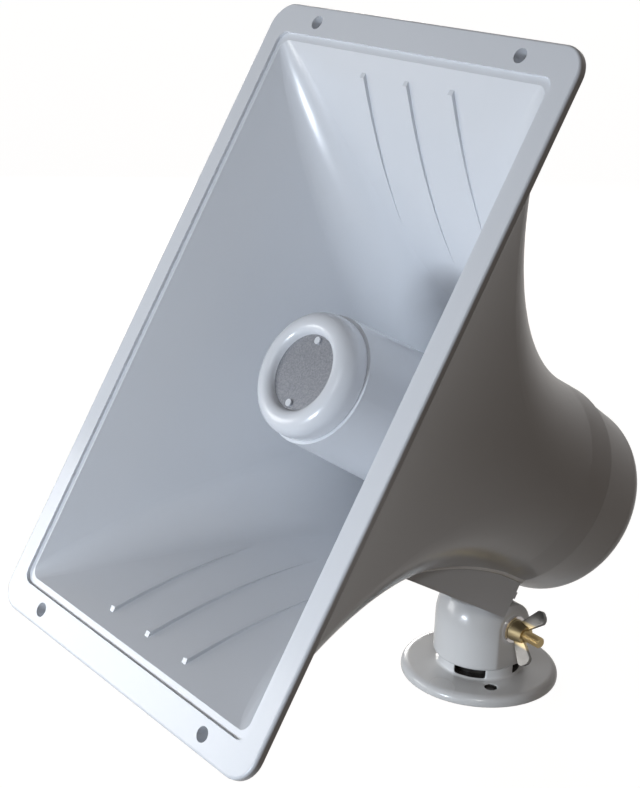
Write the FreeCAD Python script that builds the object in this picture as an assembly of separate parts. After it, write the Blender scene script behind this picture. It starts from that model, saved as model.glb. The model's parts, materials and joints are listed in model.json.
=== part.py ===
import FreeCAD, Part
import math
import os

from FreeCAD import Rotation, Vector

# Small public-address horn with a rectangular mouth on a ball knuckle and a round base.
# Frame: origin at the centre of the base's underside, +Z up, mouth towards -Y. Millimetres.
# The horn is built level in its own frame (origin at the mouth's centre, +Y to the rear,
# +Z up along the mouth's long side) and is then pitched up and set on the tilt bolt.

# Mouth and flange
MOUTH_WIDTH = 178.0
MOUTH_HEIGHT = 280.0
FLANGE_CORNER = 11.0
FLANGE_THICK = 4.0
FLANGE_EDGE_ROUND = 1.2
OPENING_WIDTH = 156.0
OPENING_HEIGHT = 251.0
OPENING_CORNER = 3.5
LIP_WIDTH = 1.6
LIP_DEPTH = 1.4
FLANGE_HOLE_SPACING_X = 118.0
FLANGE_HOLE_SPACING_Z = 266.0
FLANGE_HOLE_RADIUS = 3.0
FLANGE_BOSS_WALL = 2.2
FLANGE_BOSS_LENGTH = 5.0

# Flare of the bell, from the mouth's rounded rectangle to the round throat collar
WALL = 3.0
FLARE_LENGTH = 153.0
THROAT_RADIUS = 44.6
COLLAR_LENGTH = 15.0
HEIGHT_POWER = 2.03
WIDTH_POWER = 2.47
CORNER_POWER = 0.68
FLARE_STATIONS = (0.0, 0.08, 0.18, 0.3, 0.43, 0.57, 0.72, 0.86, 1.0)
THROAT_FLAT = 0.5

# Stiffening ribs inside the long ends of the mouth
RIB_SPACING = 26.0
RIB_START = 7.0
RIB_LENGTH_MIDDLE = 66.0
RIB_LENGTH_SIDE = 54.0
RIB_HEIGHT = 2.2
RIB_WIDTH = 2.4
RIB_ROOT = 1.5

# Rear housing
HOUSING_STEP = 0.8
HOUSING_TAPER = 2.4
HOUSING_WALL = 2.6
HOUSING_ROUND = 11.0
HOUSING_DEPTH = 34.0
FIT_GAP = 0.1

# Tilt pivot, given in the horn's frame, and the rest pitch
PIVOT_BEHIND_COLLAR = 15.5
PIVOT_UNDER_HOUSING = 15.2
PIVOT_HEIGHT = 29.5
REST_PITCH = 29.5
PITCH_LOW = -0.5
PITCH_HIGH = 59.5

# Saddle under the throat and the tilt lug behind it
SADDLE_HALF_WIDTH = 25.0
SADDLE_OVER_PIVOT = 3.5
SADDLE_WALL = 3.0
SADDLE_LENGTH = 78.0
POCKET_ROWS = 3
LUG_HALF_THICK = 5.0
LUG_RADIUS = 10.0
LUG_NECK = 8.5
TONGUE_HALF_WIDTH = 8.5
TONGUE_THICK = 3.2
TONGUE_GAP = 0.4

# Ball knuckle
BALL_RADIUS = 21.6
BALL_GAP = 0.5
SEAT_HALF_WIDTH = 19.8
CROWN_GAP = 0.4
SLOT_GAP = 0.3
STEM_CHAMFER = 1.0

# Base
BASE_RADIUS = 36.0
BASE_THICK = 5.0
BASE_ROUND = 3.0
BASE_FOOT_ROUND = 0.8
SWIVEL_COLLAR_RADIUS = 19.0
SWIVEL_COLLAR_TOP = 10.2
CASTLE_COUNT = 4
CASTLE_SPAN = 44.0
CASTLE_TURN = -58.0
CASTLE_SILL = 5.6
SPINDLE_RADIUS = 14.0
RUNNING_GAP = 0.08
SWIVEL_GAP = 0.2
RECESS_RADIUS = 18.0
RECESS_DEPTH = 3.2
BASE_HOLE_CIRCLE = 50.6
BASE_HOLE_COUNT = 2
BASE_HOLE_TURN = -31.4
BASE_HOLE_RADIUS = 2.75
CLIP_THICK = 1.2
CLIP_GROOVE = 1.0
CLIP_RADIUS = 17.0
CLIP_OPENING = 50.0
CLIP_GAP = 0.2
SPINDLE_END = 1.0

# Clamp bolt, washer and wing nut
BOLT_RADIUS = 2.5
BOLT_END = 37.0
BOLT_HEAD_FLATS = 8.0
BOLT_HEAD_HEIGHT = 3.5
BOLT_TIP_CHAMFER = 0.6
HEAD_GAP = 0.15
WASHER_RADIUS = 6.3
WASHER_THICK = 1.2
NUT_GAP = 0.2
NUT_HUB_RADIUS = 5.0
NUT_NOSE_RADIUS = 4.0
NUT_HUB_LENGTH = 6.6
NUT_WING_REACH = 11.6
NUT_WING_RISE = 12.4
NUT_WING_ROOT = 4.4
NUT_WING_WIDTH = 6.6
NUT_WING_THICK = 1.9
NUT_TURN = 24.0

# Centre reflector with its front cap and label
REFLECTOR_FRONT = 31.0
REFLECTOR_THROAT_GAP = 27.0
REFLECTOR_FRONT_RADIUS = 27.1
REFLECTOR_END_RADIUS = 31.0
REFLECTOR_WALL = 2.2
REFLECTOR_FLOOR = 2.4
CAP_RADIUS = 26.0
CAP_RING_RADIUS = 19.5
CAP_FRONT = 19.6
CAP_SPIGOT_GAP = 0.1
CAP_SPIGOT = 3.0
CAP_BORE_GAP = 1.0
LABEL_RADIUS = 15.7
LABEL_THICK = 0.5
LABEL_FACE = 22.6
LABEL_GAP = 0.2
PIN_RADIUS = 1.5
PIN_OFFSET = 13.4
PIN_PROUD = 0.7

# Throat tube, its spider and its rear flange
TUBE_FRONT_SET = 13.0
TUBE_FRONT_RADIUS = 15.0
TUBE_REAR_RADIUS = 11.0
TUBE_WALL = 2.0
SPIDER_ARMS = 3
SPIDER_ARM_THICK = 2.4
SPIDER_HUB_RADIUS = 5.0
SPIDER_DEPTH = 12.0
BULKHEAD_SET = 4.0
BULKHEAD_THICK = 5.0
LEDGE_WIDTH = 2.6
LEDGE_THICK = 2.5
CENTRE_SCREW_RADIUS = 2.0
CENTRE_SCREW_HEAD = 3.8
CENTRE_SCREW_HEAD_HEIGHT = 2.2
CENTRE_SCREW_LENGTH = 14.0
BLIND_GAP = 1.0
BLIND_FLOOR = 1.5

# Compression driver
GASKET_THICK = 1.0
CHAMBER_LAND = 5.5
CHAMBER_DEPTH = 3.2
PLATE_INSET = 2.0
TOP_PLATE_THICK = 5.0
MAGNET_GAP = 0.7
MAGNET_BORE_GAP = 5.0
MAGNET_THICK = 12.0
BACK_PLATE_THICK = 5.0
POLE_INSET = 7.0
COIL_GAP = 0.4
COIL_THICK = 0.5
COIL_LENGTH = 7.0
DOME_RISE = 3.6
DIAPHRAGM_THICK = 0.4
SURROUND_WIDTH = 3.2
PLUG_RADIUS = 6.5
PLUG_LENGTH = 16.0
PLUG_ARM_THICK = 1.6
DRIVER_SCREW_COUNT = 3
DRIVER_SCREW_INSET = 4.5
DRIVER_SCREW_RADIUS = 1.5
DRIVER_SCREW_HEAD = 2.8
DRIVER_SCREW_HEAD_HEIGHT = 1.8

# Terminals and cable inlet
TERMINAL_WIDTH = 24.0
TERMINAL_HEIGHT = 9.0
TERMINAL_DEPTH = 6.0
TERMINAL_PITCH = 12.0
TERMINAL_SCREW_RADIUS = 1.5
TERMINAL_HEAD_RADIUS = 2.8
TERMINAL_HEAD_HEIGHT = 1.6
INLET_FROM_RIM = 17.2
INLET_RADIUS = 5.0
GROMMET_LIP = 2.0
GROMMET_LIP_THICK = 1.6
GROMMET_BORE = 2.6

# Screws that draw the rear housing on to the throat flange
HOUSING_SCREW_COUNT = 4
HOUSING_SCREW_INSET = 9.0
HOUSING_SCREW_RADIUS = 1.6
HOUSING_SCREW_HEAD = 3.0
HOUSING_SCREW_HEAD_HEIGHT = 2.2
HOUSING_SCREW_GRIP = 3.5
PILLAR_RADIUS = 3.9

# How far a cutter runs past the face that it cuts
THROUGH = 1.0

# Places and radii that follow from the sizes above
COLLAR_END = FLARE_LENGTH + COLLAR_LENGTH
HOUSING_RADIUS = THROAT_RADIUS + WALL - HOUSING_STEP
HOUSING_REAR_RADIUS = HOUSING_RADIUS - HOUSING_TAPER
HOUSING_REAR = COLLAR_END + HOUSING_DEPTH
HOUSING_SCREW_CIRCLE = THROAT_RADIUS - HOUSING_SCREW_INSET
INLET_DROP = HOUSING_REAR_RADIUS - INLET_FROM_RIM
MAGNET_RADIUS = HOUSING_SCREW_CIRCLE - PILLAR_RADIUS - MAGNET_GAP
PLATE_RADIUS = MAGNET_RADIUS - PLATE_INSET
DRIVER_SCREW_CIRCLE = PLATE_RADIUS - DRIVER_SCREW_INSET
CHAMBER_RADIUS = DRIVER_SCREW_CIRCLE - CHAMBER_LAND
POLE_RADIUS = CHAMBER_RADIUS - POLE_INSET
MAGNET_BORE = POLE_RADIUS + MAGNET_BORE_GAP
PIVOT_BACK = COLLAR_END + PIVOT_BEHIND_COLLAR
PIVOT_DROP = HOUSING_RADIUS + PIVOT_UNDER_HOUSING
SADDLE_FRONT = COLLAR_END - SADDLE_LENGTH
SADDLE_DROP = PIVOT_DROP - SADDLE_OVER_PIVOT
REFLECTOR_END = FLARE_LENGTH - REFLECTOR_THROAT_GAP
TUBE_FRONT = REFLECTOR_FRONT + TUBE_FRONT_SET
BULKHEAD_FRONT = FLARE_LENGTH + BULKHEAD_SET
STEM_RADIUS = BALL_RADIUS

X_AXIS = Vector(1, 0, 0)
Y_AXIS = Vector(0, 1, 0)
Z_AXIS = Vector(0, 0, 1)


def rounded_rectangle(half_x, half_z, corner, y):
    """Closed wire of four sides and four arcs in a plane across the horn's axis."""
    edges = []
    inner_x = half_x - corner
    inner_z = half_z - corner
    slope = corner * math.sqrt(0.5)
    for sign_x, sign_z in ((1, 1), (-1, 1), (-1, -1), (1, -1)):
        centre = Vector(sign_x * inner_x, y, sign_z * inner_z)
        on_side = centre + Vector(sign_x * corner, 0, 0)
        on_end = centre + Vector(0, 0, sign_z * corner)
        middle = centre + Vector(sign_x * slope, 0, sign_z * slope)
        turn = (on_side, middle, on_end) if sign_x * sign_z > 0 else (on_end, middle, on_side)
        edges.append(Part.Arc(*turn).toShape())
    wire_edges = []
    for index, arc in enumerate(edges):
        following = edges[(index + 1) % 4]
        wire_edges.append(arc)
        start = arc.valueAt(arc.LastParameter)
        end = following.valueAt(following.FirstParameter)
        wire_edges.append(Part.makeLine(start, end))
    return Part.Wire(wire_edges)


def flare_section(share, grow=0.0):
    """Half width, half height and corner radius of the bore at a share of the flare's length."""
    rest = 1.0 - share
    half_x = THROAT_RADIUS + (OPENING_WIDTH / 2 - THROAT_RADIUS) * rest ** WIDTH_POWER
    half_z = THROAT_RADIUS + (OPENING_HEIGHT / 2 - THROAT_RADIUS) * rest ** HEIGHT_POWER
    corner = OPENING_CORNER + (THROAT_RADIUS - THROAT_FLAT - OPENING_CORNER) * share ** CORNER_POWER
    return half_x + grow, half_z + grow, corner + grow


def flare(grow):
    """Smooth solid through the flare's stations, grown outwards by a wall."""
    wires = []
    for share in FLARE_STATIONS:
        half_x, half_z, corner = flare_section(share, grow)
        wires.append(rounded_rectangle(half_x, half_z, corner, share * FLARE_LENGTH))
    return Part.makeLoft(wires, True, False)


def collar(grow, start, end):
    """Straight stretch that carries the throat section on to the rear."""
    half_x, half_z, corner = flare_section(1.0, grow)
    face = Part.Face(rounded_rectangle(half_x, half_z, corner, start))
    return face.extrude(Vector(0, end - start, 0))


def along_y(radius, start, end, x=0.0, z=0.0):
    return Part.makeCylinder(radius, end - start, Vector(x, start, z), Y_AXIS)


def along_x(radius, start, end, y=0.0, z=0.0):
    return Part.makeCylinder(radius, end - start, Vector(start, y, z), X_AXIS)


def along_z(radius, start, end, x=0.0, y=0.0):
    return Part.makeCylinder(radius, end - start, Vector(x, y, start), Z_AXIS)


def block(x0, x1, y0, y1, z0, z1):
    return Part.makeBox(x1 - x0, y1 - y0, z1 - z0, Vector(x0, y0, z0))


def turned(points, axis_point=Vector(0, 0, 0), axis=Y_AXIS):
    """Body of revolution from (radius, position along the axis) corners."""
    if axis == Y_AXIS:
        corners = [Vector(radius, along, 0) for radius, along in points]
    else:
        corners = [Vector(radius, 0, along) for radius, along in points]
    wire = Part.makePolygon(corners + [corners[0]])
    return Part.Face(wire).revolve(axis_point, axis, 360)


def ring_of(count, radius, first_angle=0.0):
    """(x, z) places of a ring of like things around the horn's axis."""
    places = []
    for index in range(count):
        angle = math.radians(first_angle + 360.0 * index / count)
        places.append((radius * math.cos(angle), radius * math.sin(angle)))
    return places


def tilt_to_rest(shape):
    """Carry a shape from the horn's level frame to its place on the tilt bolt."""
    moved = shape.copy()
    moved.translate(Vector(0, -PIVOT_BACK, PIVOT_DROP))
    moved.rotate(Vector(0, 0, 0), X_AXIS, -REST_PITCH)
    moved.translate(Vector(0, 0, PIVOT_HEIGHT))
    return moved


def mouth_flange():
    wire = rounded_rectangle(MOUTH_WIDTH / 2, MOUTH_HEIGHT / 2, FLANGE_CORNER, 0.0)
    plate = Part.Face(wire).extrude(Vector(0, FLANGE_THICK, 0))
    rim = [edge for edge in plate.Edges if edge.BoundBox.YLength < 0.01]
    plate = plate.makeFillet(FLANGE_EDGE_ROUND, rim)
    return plate


def flange_hole_places():
    places = []
    for sign_x in (-1, 1):
        for sign_z in (-1, 1):
            places.append((sign_x * FLANGE_HOLE_SPACING_X / 2, sign_z * FLANGE_HOLE_SPACING_Z / 2))
    return places


def flange_bosses():
    """Short bosses behind the flange that deepen its four holes."""
    radius = FLANGE_HOLE_RADIUS + FLANGE_BOSS_WALL
    start = FLANGE_THICK / 2
    return [along_y(radius, start, FLANGE_THICK + FLANGE_BOSS_LENGTH, x, z) for x, z in flange_hole_places()]


def flange_holes():
    end = FLANGE_THICK + FLANGE_BOSS_LENGTH + THROUGH
    return [along_y(FLANGE_HOLE_RADIUS, -THROUGH, end, x, z) for x, z in flange_hole_places()]


def mouth_rib(x, length, sign):
    """Ridge on the bore's long end wall, highest at the mouth and running out to nothing."""
    steps = 6
    crest = []
    root = []
    for step in range(steps + 1):
        share = step / steps
        y = RIB_START + length * share
        wall = flare_section(y / FLARE_LENGTH)[1]
        crest.append(Vector(x, y, sign * (wall - RIB_HEIGHT * (1.0 - share))))
        root.append(Vector(x, y, sign * (wall + RIB_ROOT)))
    crest_line = Part.BSplineCurve()
    crest_line.interpolate(crest)
    root_line = Part.BSplineCurve()
    root_line.interpolate(root)
    edges = [
        crest_line.toShape(),
        Part.makeLine(crest[-1], root[-1]),
        root_line.toShape(),
        Part.makeLine(root[0], crest[0]),
    ]
    face = Part.Face(Part.Wire(Part.sortEdges(edges)[0]))
    face.translate(Vector(-RIB_WIDTH / 2, 0, 0))
    return face.extrude(Vector(RIB_WIDTH, 0, 0))


def mouth_ribs():
    ribs = []
    for sign in (-1, 1):
        for index in (-1, 0, 1):
            length = RIB_LENGTH_SIDE if index else RIB_LENGTH_MIDDLE
            ribs.append(mouth_rib(index * RIB_SPACING, length, sign))
    return ribs


def saddle_block():
    return block(-SADDLE_HALF_WIDTH, SADDLE_HALF_WIDTH, SADDLE_FRONT, COLLAR_END, -SADDLE_DROP, 0.0)


def saddle_pockets():
    """Open cells in the saddle's underside, between its walls and its ribs."""
    cells = []
    first = SADDLE_FRONT + 2 * SADDLE_WALL
    last = PIVOT_BACK - BALL_RADIUS - BALL_GAP - SADDLE_WALL
    pitch = (last - first + SADDLE_WALL) / POCKET_ROWS
    half_rib = SADDLE_WALL / 2
    for row in range(POCKET_ROWS):
        start = first + row * pitch
        end = start + pitch - SADDLE_WALL
        for sign in (-1, 1):
            near = sign * half_rib
            far = sign * (SADDLE_HALF_WIDTH - SADDLE_WALL)
            cells.append(block(min(near, far), max(near, far), start, end, -SADDLE_DROP - THROUGH, 0.0))
    return cells


def tilt_lug():
    """Tongue that runs back under the housing and the eared lug that hangs from it."""
    top = -HOUSING_RADIUS - TONGUE_GAP
    bottom = top - TONGUE_THICK
    rear = PIVOT_BACK + LUG_NECK
    tongue = block(-TONGUE_HALF_WIDTH, TONGUE_HALF_WIDTH, COLLAR_END - SADDLE_WALL, rear, bottom, top)
    corners = []
    for edge in tongue.Edges:
        upright = edge.BoundBox.ZLength > TONGUE_THICK / 2
        if upright and edge.CenterOfMass.y > PIVOT_BACK:
            corners.append(edge)
    tongue = tongue.makeFillet(TONGUE_HALF_WIDTH - LUG_HALF_THICK, corners)
    ear = along_x(LUG_RADIUS, -LUG_HALF_THICK, LUG_HALF_THICK, PIVOT_BACK, -PIVOT_DROP)
    neck = block(
        -LUG_HALF_THICK, LUG_HALF_THICK,
        PIVOT_BACK - LUG_NECK, PIVOT_BACK + LUG_NECK, -PIVOT_DROP, bottom,
    )
    return tongue.fuse([ear, neck])


def horn_bell():
    """One moulding: flange, flared bell, ribs, throat collar, saddle and tilt lug."""
    outside = flare(WALL).fuse(collar(WALL, FLARE_LENGTH, COLLAR_END))
    web = saddle_block()
    for cell in saddle_pockets():
        web = web.cut(cell)
    web = web.fuse(tilt_lug())
    bore = flare(0.0)
    throat = collar(0.0, FLARE_LENGTH, COLLAR_END + THROUGH)
    body = outside.fuse([mouth_flange(), web] + flange_bosses())
    lip_wire = rounded_rectangle(
        OPENING_WIDTH / 2 + LIP_WIDTH, OPENING_HEIGHT / 2 + LIP_WIDTH, OPENING_CORNER + LIP_WIDTH, -THROUGH,
    )
    rebate = Part.Face(lip_wire).extrude(Vector(0, LIP_DEPTH + THROUGH, 0))
    body = body.cut(bore.fuse([throat, rebate]))
    for hole in flange_holes():
        body = body.cut(hole)
    ledge_end = BULKHEAD_FRONT
    ledge = along_y(THROAT_RADIUS + WALL / 2, ledge_end - LEDGE_THICK, ledge_end)
    ledge = ledge.cut(along_y(THROAT_RADIUS - LEDGE_WIDTH, ledge_end - LEDGE_THICK, ledge_end))
    body = body.fuse([ledge] + mouth_ribs())
    ball_room = Part.makeSphere(BALL_RADIUS + BALL_GAP, Vector(0, PIVOT_BACK, -PIVOT_DROP))
    keep = tilt_lug()
    body = body.cut(ball_room.cut(keep))
    hole = BOLT_RADIUS + RUNNING_GAP
    reach = LUG_HALF_THICK + THROUGH
    body = body.cut(along_x(hole, -reach, reach, PIVOT_BACK, -PIVOT_DROP))
    return body


def cup_solid(front_radius, rear_radius, rear, rounding, front):
    """Tapered plug with a rounded rear edge."""
    slope = rounding * math.sqrt(0.5)
    side = Vector(rear_radius, rear - rounding, 0)
    turn = Vector(rear_radius - rounding + slope, rear - rounding + slope, 0)
    end = Vector(rear_radius - rounding, rear, 0)
    edges = [
        Part.makeLine(Vector(0, front, 0), Vector(front_radius, front, 0)),
        Part.makeLine(Vector(front_radius, front, 0), side),
        Part.Arc(side, turn, end).toShape(),
        Part.makeLine(end, Vector(0, rear, 0)),
        Part.makeLine(Vector(0, rear, 0), Vector(0, front, 0)),
    ]
    return Part.Face(Part.Wire(edges)).revolve(Vector(0, 0, 0), Y_AXIS, 360)


def rear_housing():
    """Deep cup on the collar's end, with four screw pillars inside and recessed seats."""
    outer = cup_solid(HOUSING_RADIUS, HOUSING_REAR_RADIUS, HOUSING_REAR, HOUSING_ROUND, COLLAR_END)
    inner = cup_solid(
        HOUSING_RADIUS - HOUSING_WALL, HOUSING_REAR_RADIUS - HOUSING_WALL, HOUSING_REAR - HOUSING_WALL,
        HOUSING_ROUND - HOUSING_WALL, COLLAR_END - THROUGH,
    )
    cup = outer.cut(inner)
    seat = HOUSING_REAR - HOUSING_SCREW_HEAD_HEIGHT
    floor = HOUSING_REAR - HOUSING_WALL
    for x, z in housing_screw_places():
        cup = cup.fuse(along_y(PILLAR_RADIUS, BULKHEAD_FRONT + BULKHEAD_THICK, floor, x, z))
    for x, z in housing_screw_places():
        cup = cup.cut(along_y(HOUSING_SCREW_RADIUS + FIT_GAP, BULKHEAD_FRONT, HOUSING_REAR + THROUGH, x, z))
        cup = cup.cut(along_y(HOUSING_SCREW_HEAD + FIT_GAP, seat, HOUSING_REAR + THROUGH, x, z))
    return cup.cut(along_y(INLET_RADIUS, floor - HOUSING_WALL, HOUSING_REAR + THROUGH, 0.0, -INLET_DROP))


def housing_screw_places():
    return ring_of(HOUSING_SCREW_COUNT, HOUSING_SCREW_CIRCLE, 45.0)


def housing_screws():
    """Four pan-headed screws from the rear into the throat flange, as one group."""
    seat = HOUSING_REAR - HOUSING_SCREW_HEAD_HEIGHT
    start = BULKHEAD_FRONT + BULKHEAD_THICK - HOUSING_SCREW_GRIP
    screws = []
    for x, z in housing_screw_places():
        shank = along_y(HOUSING_SCREW_RADIUS, start, seat, x, z)
        head = along_y(HOUSING_SCREW_HEAD, seat, HOUSING_REAR, x, z)
        screws.append(shank.fuse(head))
    return Part.makeCompound(screws)


def reflector_radius(y):
    share = (y - REFLECTOR_FRONT) / (REFLECTOR_END - REFLECTOR_FRONT)
    return REFLECTOR_FRONT_RADIUS + (REFLECTOR_END_RADIUS - REFLECTOR_FRONT_RADIUS) * share


def reflector():
    """Long tapered cup over the throat tube, closed at its front."""
    y0 = REFLECTOR_FRONT
    y1 = REFLECTOR_END
    floor = y0 + CAP_SPIGOT + REFLECTOR_FLOOR
    r0 = REFLECTOR_FRONT_RADIUS
    r1 = REFLECTOR_END_RADIUS
    wall = REFLECTOR_WALL
    body = turned([
        (0.0, y0 + CAP_SPIGOT), (r0 - wall, y0 + CAP_SPIGOT), (r0 - wall, y0), (r0, y0),
        (r1, y1), (r1 - wall, y1), (reflector_radius(floor) - wall, floor), (0.0, floor),
    ])
    return body.cut(along_y(CENTRE_SCREW_RADIUS + FIT_GAP, y0, floor + THROUGH))


def front_cap():
    """Round-lipped ring that closes the reflector's front and carries the label."""
    seat = LABEL_FACE + LABEL_THICK
    inner = LABEL_RADIUS + LABEL_GAP
    rear = REFLECTOR_FRONT
    lip_depth = CAP_RADIUS - CAP_RING_RADIUS
    lip_inner = CAP_RING_RADIUS - inner
    spigot = REFLECTOR_FRONT_RADIUS - REFLECTOR_WALL - CAP_SPIGOT_GAP
    bore = CENTRE_SCREW_HEAD + CAP_BORE_GAP
    corner = math.sqrt(0.5)
    a = Vector(CAP_RING_RADIUS, CAP_FRONT, 0)
    b = Vector(CAP_RING_RADIUS + lip_depth * corner, CAP_FRONT + lip_depth * (1 - corner), 0)
    c = Vector(CAP_RADIUS, CAP_FRONT + lip_depth, 0)
    d = Vector(inner, CAP_FRONT + lip_inner, 0)
    e = Vector(CAP_RING_RADIUS - lip_inner * corner, CAP_FRONT + lip_inner * (1 - corner), 0)
    edges = [Part.Arc(d, e, a).toShape(), Part.Arc(a, b, c).toShape()]
    path = [
        c, Vector(CAP_RADIUS, rear, 0), Vector(spigot, rear, 0),
        Vector(spigot, rear + CAP_SPIGOT, 0), Vector(bore, rear + CAP_SPIGOT, 0),
        Vector(bore, seat, 0), Vector(inner, seat, 0), d,
    ]
    for start, end in zip(path, path[1:]):
        edges.append(Part.makeLine(start, end))
    return Part.Face(Part.Wire(edges)).revolve(Vector(0, 0, 0), Y_AXIS, 360)


def label_plate():
    plate = along_y(LABEL_RADIUS, LABEL_FACE, LABEL_FACE + LABEL_THICK)
    end = LABEL_FACE + LABEL_THICK + THROUGH
    for sign in (-1, 1):
        plate = plate.cut(along_y(PIN_RADIUS, LABEL_FACE - THROUGH, end, 0.0, sign * PIN_OFFSET))
    return plate


def label_pins():
    """Two heads that hold the label plate on the front cap."""
    pins = []
    for sign in (-1, 1):
        front = LABEL_FACE - PIN_PROUD
        pins.append(along_y(PIN_RADIUS, front, LABEL_FACE + LABEL_THICK, 0.0, sign * PIN_OFFSET))
    return Part.makeCompound(pins)


def spider_hub_rear():
    return REFLECTOR_FRONT + CAP_SPIGOT + REFLECTOR_FLOOR


def throat_tube():
    """Tapered tube from the driver forward, with its rear flange and its front spider."""
    rear = BULKHEAD_FRONT + BULKHEAD_THICK
    r0 = TUBE_FRONT_RADIUS
    r1 = TUBE_REAR_RADIUS
    tube = turned([
        (r0, TUBE_FRONT), (r0 + TUBE_WALL, TUBE_FRONT),
        (r1 + TUBE_WALL, BULKHEAD_FRONT), (r1, BULKHEAD_FRONT),
    ])
    disc = along_y(THROAT_RADIUS - FIT_GAP, BULKHEAD_FRONT, rear)
    disc = disc.cut(along_y(r1, BULKHEAD_FRONT - THROUGH, rear + THROUGH))
    disc = disc.cut(along_y(CHAMBER_RADIUS, rear - CHAMBER_DEPTH, rear + THROUGH))
    body = tube.fuse(disc)
    hub_front = spider_hub_rear()
    hub = along_y(SPIDER_HUB_RADIUS, hub_front, TUBE_FRONT + SPIDER_DEPTH)
    arms = []
    for index in range(SPIDER_ARMS):
        arm = block(
            0.0, r0 + TUBE_WALL / 2, TUBE_FRONT, TUBE_FRONT + SPIDER_DEPTH,
            -SPIDER_ARM_THICK / 2, SPIDER_ARM_THICK / 2,
        )
        arm.rotate(Vector(0, 0, 0), Y_AXIS, 90.0 + 360.0 * index / SPIDER_ARMS)
        arms.append(arm)
    body = body.fuse([hub] + arms)
    body = body.cut(along_y(CENTRE_SCREW_RADIUS, hub_front - THROUGH, hub_front + CENTRE_SCREW_LENGTH))
    for x, z in driver_screw_places():
        body = body.cut(along_y(DRIVER_SCREW_RADIUS, BULKHEAD_FRONT + BLIND_FLOOR, rear + THROUGH, x, z))
    for x, z in housing_screw_places():
        body = body.cut(along_y(HOUSING_SCREW_RADIUS, rear - HOUSING_SCREW_GRIP, rear + THROUGH, x, z))
    return body


def centre_screw():
    """Screw behind the label that draws the reflector on to the spider's hub."""
    seat = REFLECTOR_FRONT + CAP_SPIGOT
    shank = along_y(CENTRE_SCREW_RADIUS, seat, seat + REFLECTOR_FLOOR + CENTRE_SCREW_LENGTH - BLIND_GAP)
    head = along_y(CENTRE_SCREW_HEAD, seat - CENTRE_SCREW_HEAD_HEIGHT, seat)
    return shank.fuse(head)


def driver_screw_places():
    return ring_of(DRIVER_SCREW_COUNT, DRIVER_SCREW_CIRCLE, 90.0)


def driver_gasket():
    rear = BULKHEAD_FRONT + BULKHEAD_THICK
    ring = along_y(PLATE_RADIUS, rear, rear + GASKET_THICK)
    ring = ring.cut(along_y(CHAMBER_RADIUS, rear - THROUGH, rear + GASKET_THICK + THROUGH))
    for x, z in driver_screw_places():
        ring = ring.cut(along_y(DRIVER_SCREW_RADIUS, rear - THROUGH, rear + GASKET_THICK + THROUGH, x, z))
    return ring


def top_plate_front():
    return BULKHEAD_FRONT + BULKHEAD_THICK + GASKET_THICK


def gap_radius():
    return POLE_RADIUS + 2 * COIL_GAP + COIL_THICK


def driver_top_plate():
    front = top_plate_front()
    rear = front + TOP_PLATE_THICK
    seat = rear - DRIVER_SCREW_HEAD_HEIGHT
    plate = along_y(PLATE_RADIUS, front, rear)
    plate = plate.cut(along_y(gap_radius(), front - THROUGH, rear + THROUGH))
    for x, z in driver_screw_places():
        plate = plate.cut(along_y(DRIVER_SCREW_RADIUS, front - THROUGH, rear + THROUGH, x, z))
        plate = plate.cut(along_y(DRIVER_SCREW_HEAD + FIT_GAP, seat, rear + THROUGH, x, z))
    return plate


def driver_magnet():
    front = top_plate_front() + TOP_PLATE_THICK
    ring = along_y(MAGNET_RADIUS, front, front + MAGNET_THICK)
    return ring.cut(along_y(MAGNET_BORE, front - THROUGH, front + MAGNET_THICK + THROUGH))


def driver_back_plate():
    """Back plate with its pole, which reaches forward to the top plate's front face."""
    front = top_plate_front() + TOP_PLATE_THICK + MAGNET_THICK
    plate = along_y(PLATE_RADIUS, front, front + BACK_PLATE_THICK)
    return plate.fuse(along_y(POLE_RADIUS, top_plate_front(), front))


def driver_screws():
    front = BULKHEAD_FRONT + BLIND_FLOOR
    seat = top_plate_front() + TOP_PLATE_THICK - DRIVER_SCREW_HEAD_HEIGHT
    screws = []
    for x, z in driver_screw_places():
        shank = along_y(DRIVER_SCREW_RADIUS, front, seat, x, z)
        head = along_y(DRIVER_SCREW_HEAD, seat, seat + DRIVER_SCREW_HEAD_HEIGHT, x, z)
        screws.append(shank.fuse(head))
    return Part.makeCompound(screws)


def coil_radius():
    return POLE_RADIUS + COIL_GAP


def voice_coil():
    """Thin former and winding in the annular gap, joined to the diaphragm's edge."""
    front = top_plate_front()
    ring = along_y(coil_radius() + COIL_THICK, front, front + COIL_LENGTH)
    return ring.cut(along_y(coil_radius(), front - THROUGH, front + COIL_LENGTH + THROUGH))


def diaphragm():
    """Dome that bulges towards the throat, with its flat surround clamped at the rim."""
    foot = top_plate_front()
    edge = coil_radius() + COIL_THICK
    sphere_radius = (edge ** 2 + DOME_RISE ** 2) / (2 * DOME_RISE)
    centre = foot - DIAPHRAGM_THICK - DOME_RISE + sphere_radius
    skin = Part.makeSphere(sphere_radius, Vector(0, centre, 0))
    skin = skin.cut(Part.makeSphere(sphere_radius - DIAPHRAGM_THICK, Vector(0, centre, 0)))
    skin = skin.common(along_y(edge, 0.0, foot - DIAPHRAGM_THICK))
    surround = along_y(edge + SURROUND_WIDTH, foot - DIAPHRAGM_THICK, foot)
    surround = surround.cut(along_y(coil_radius() - COIL_THICK, 0.0, foot + THROUGH))
    return skin.fuse(surround)


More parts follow.
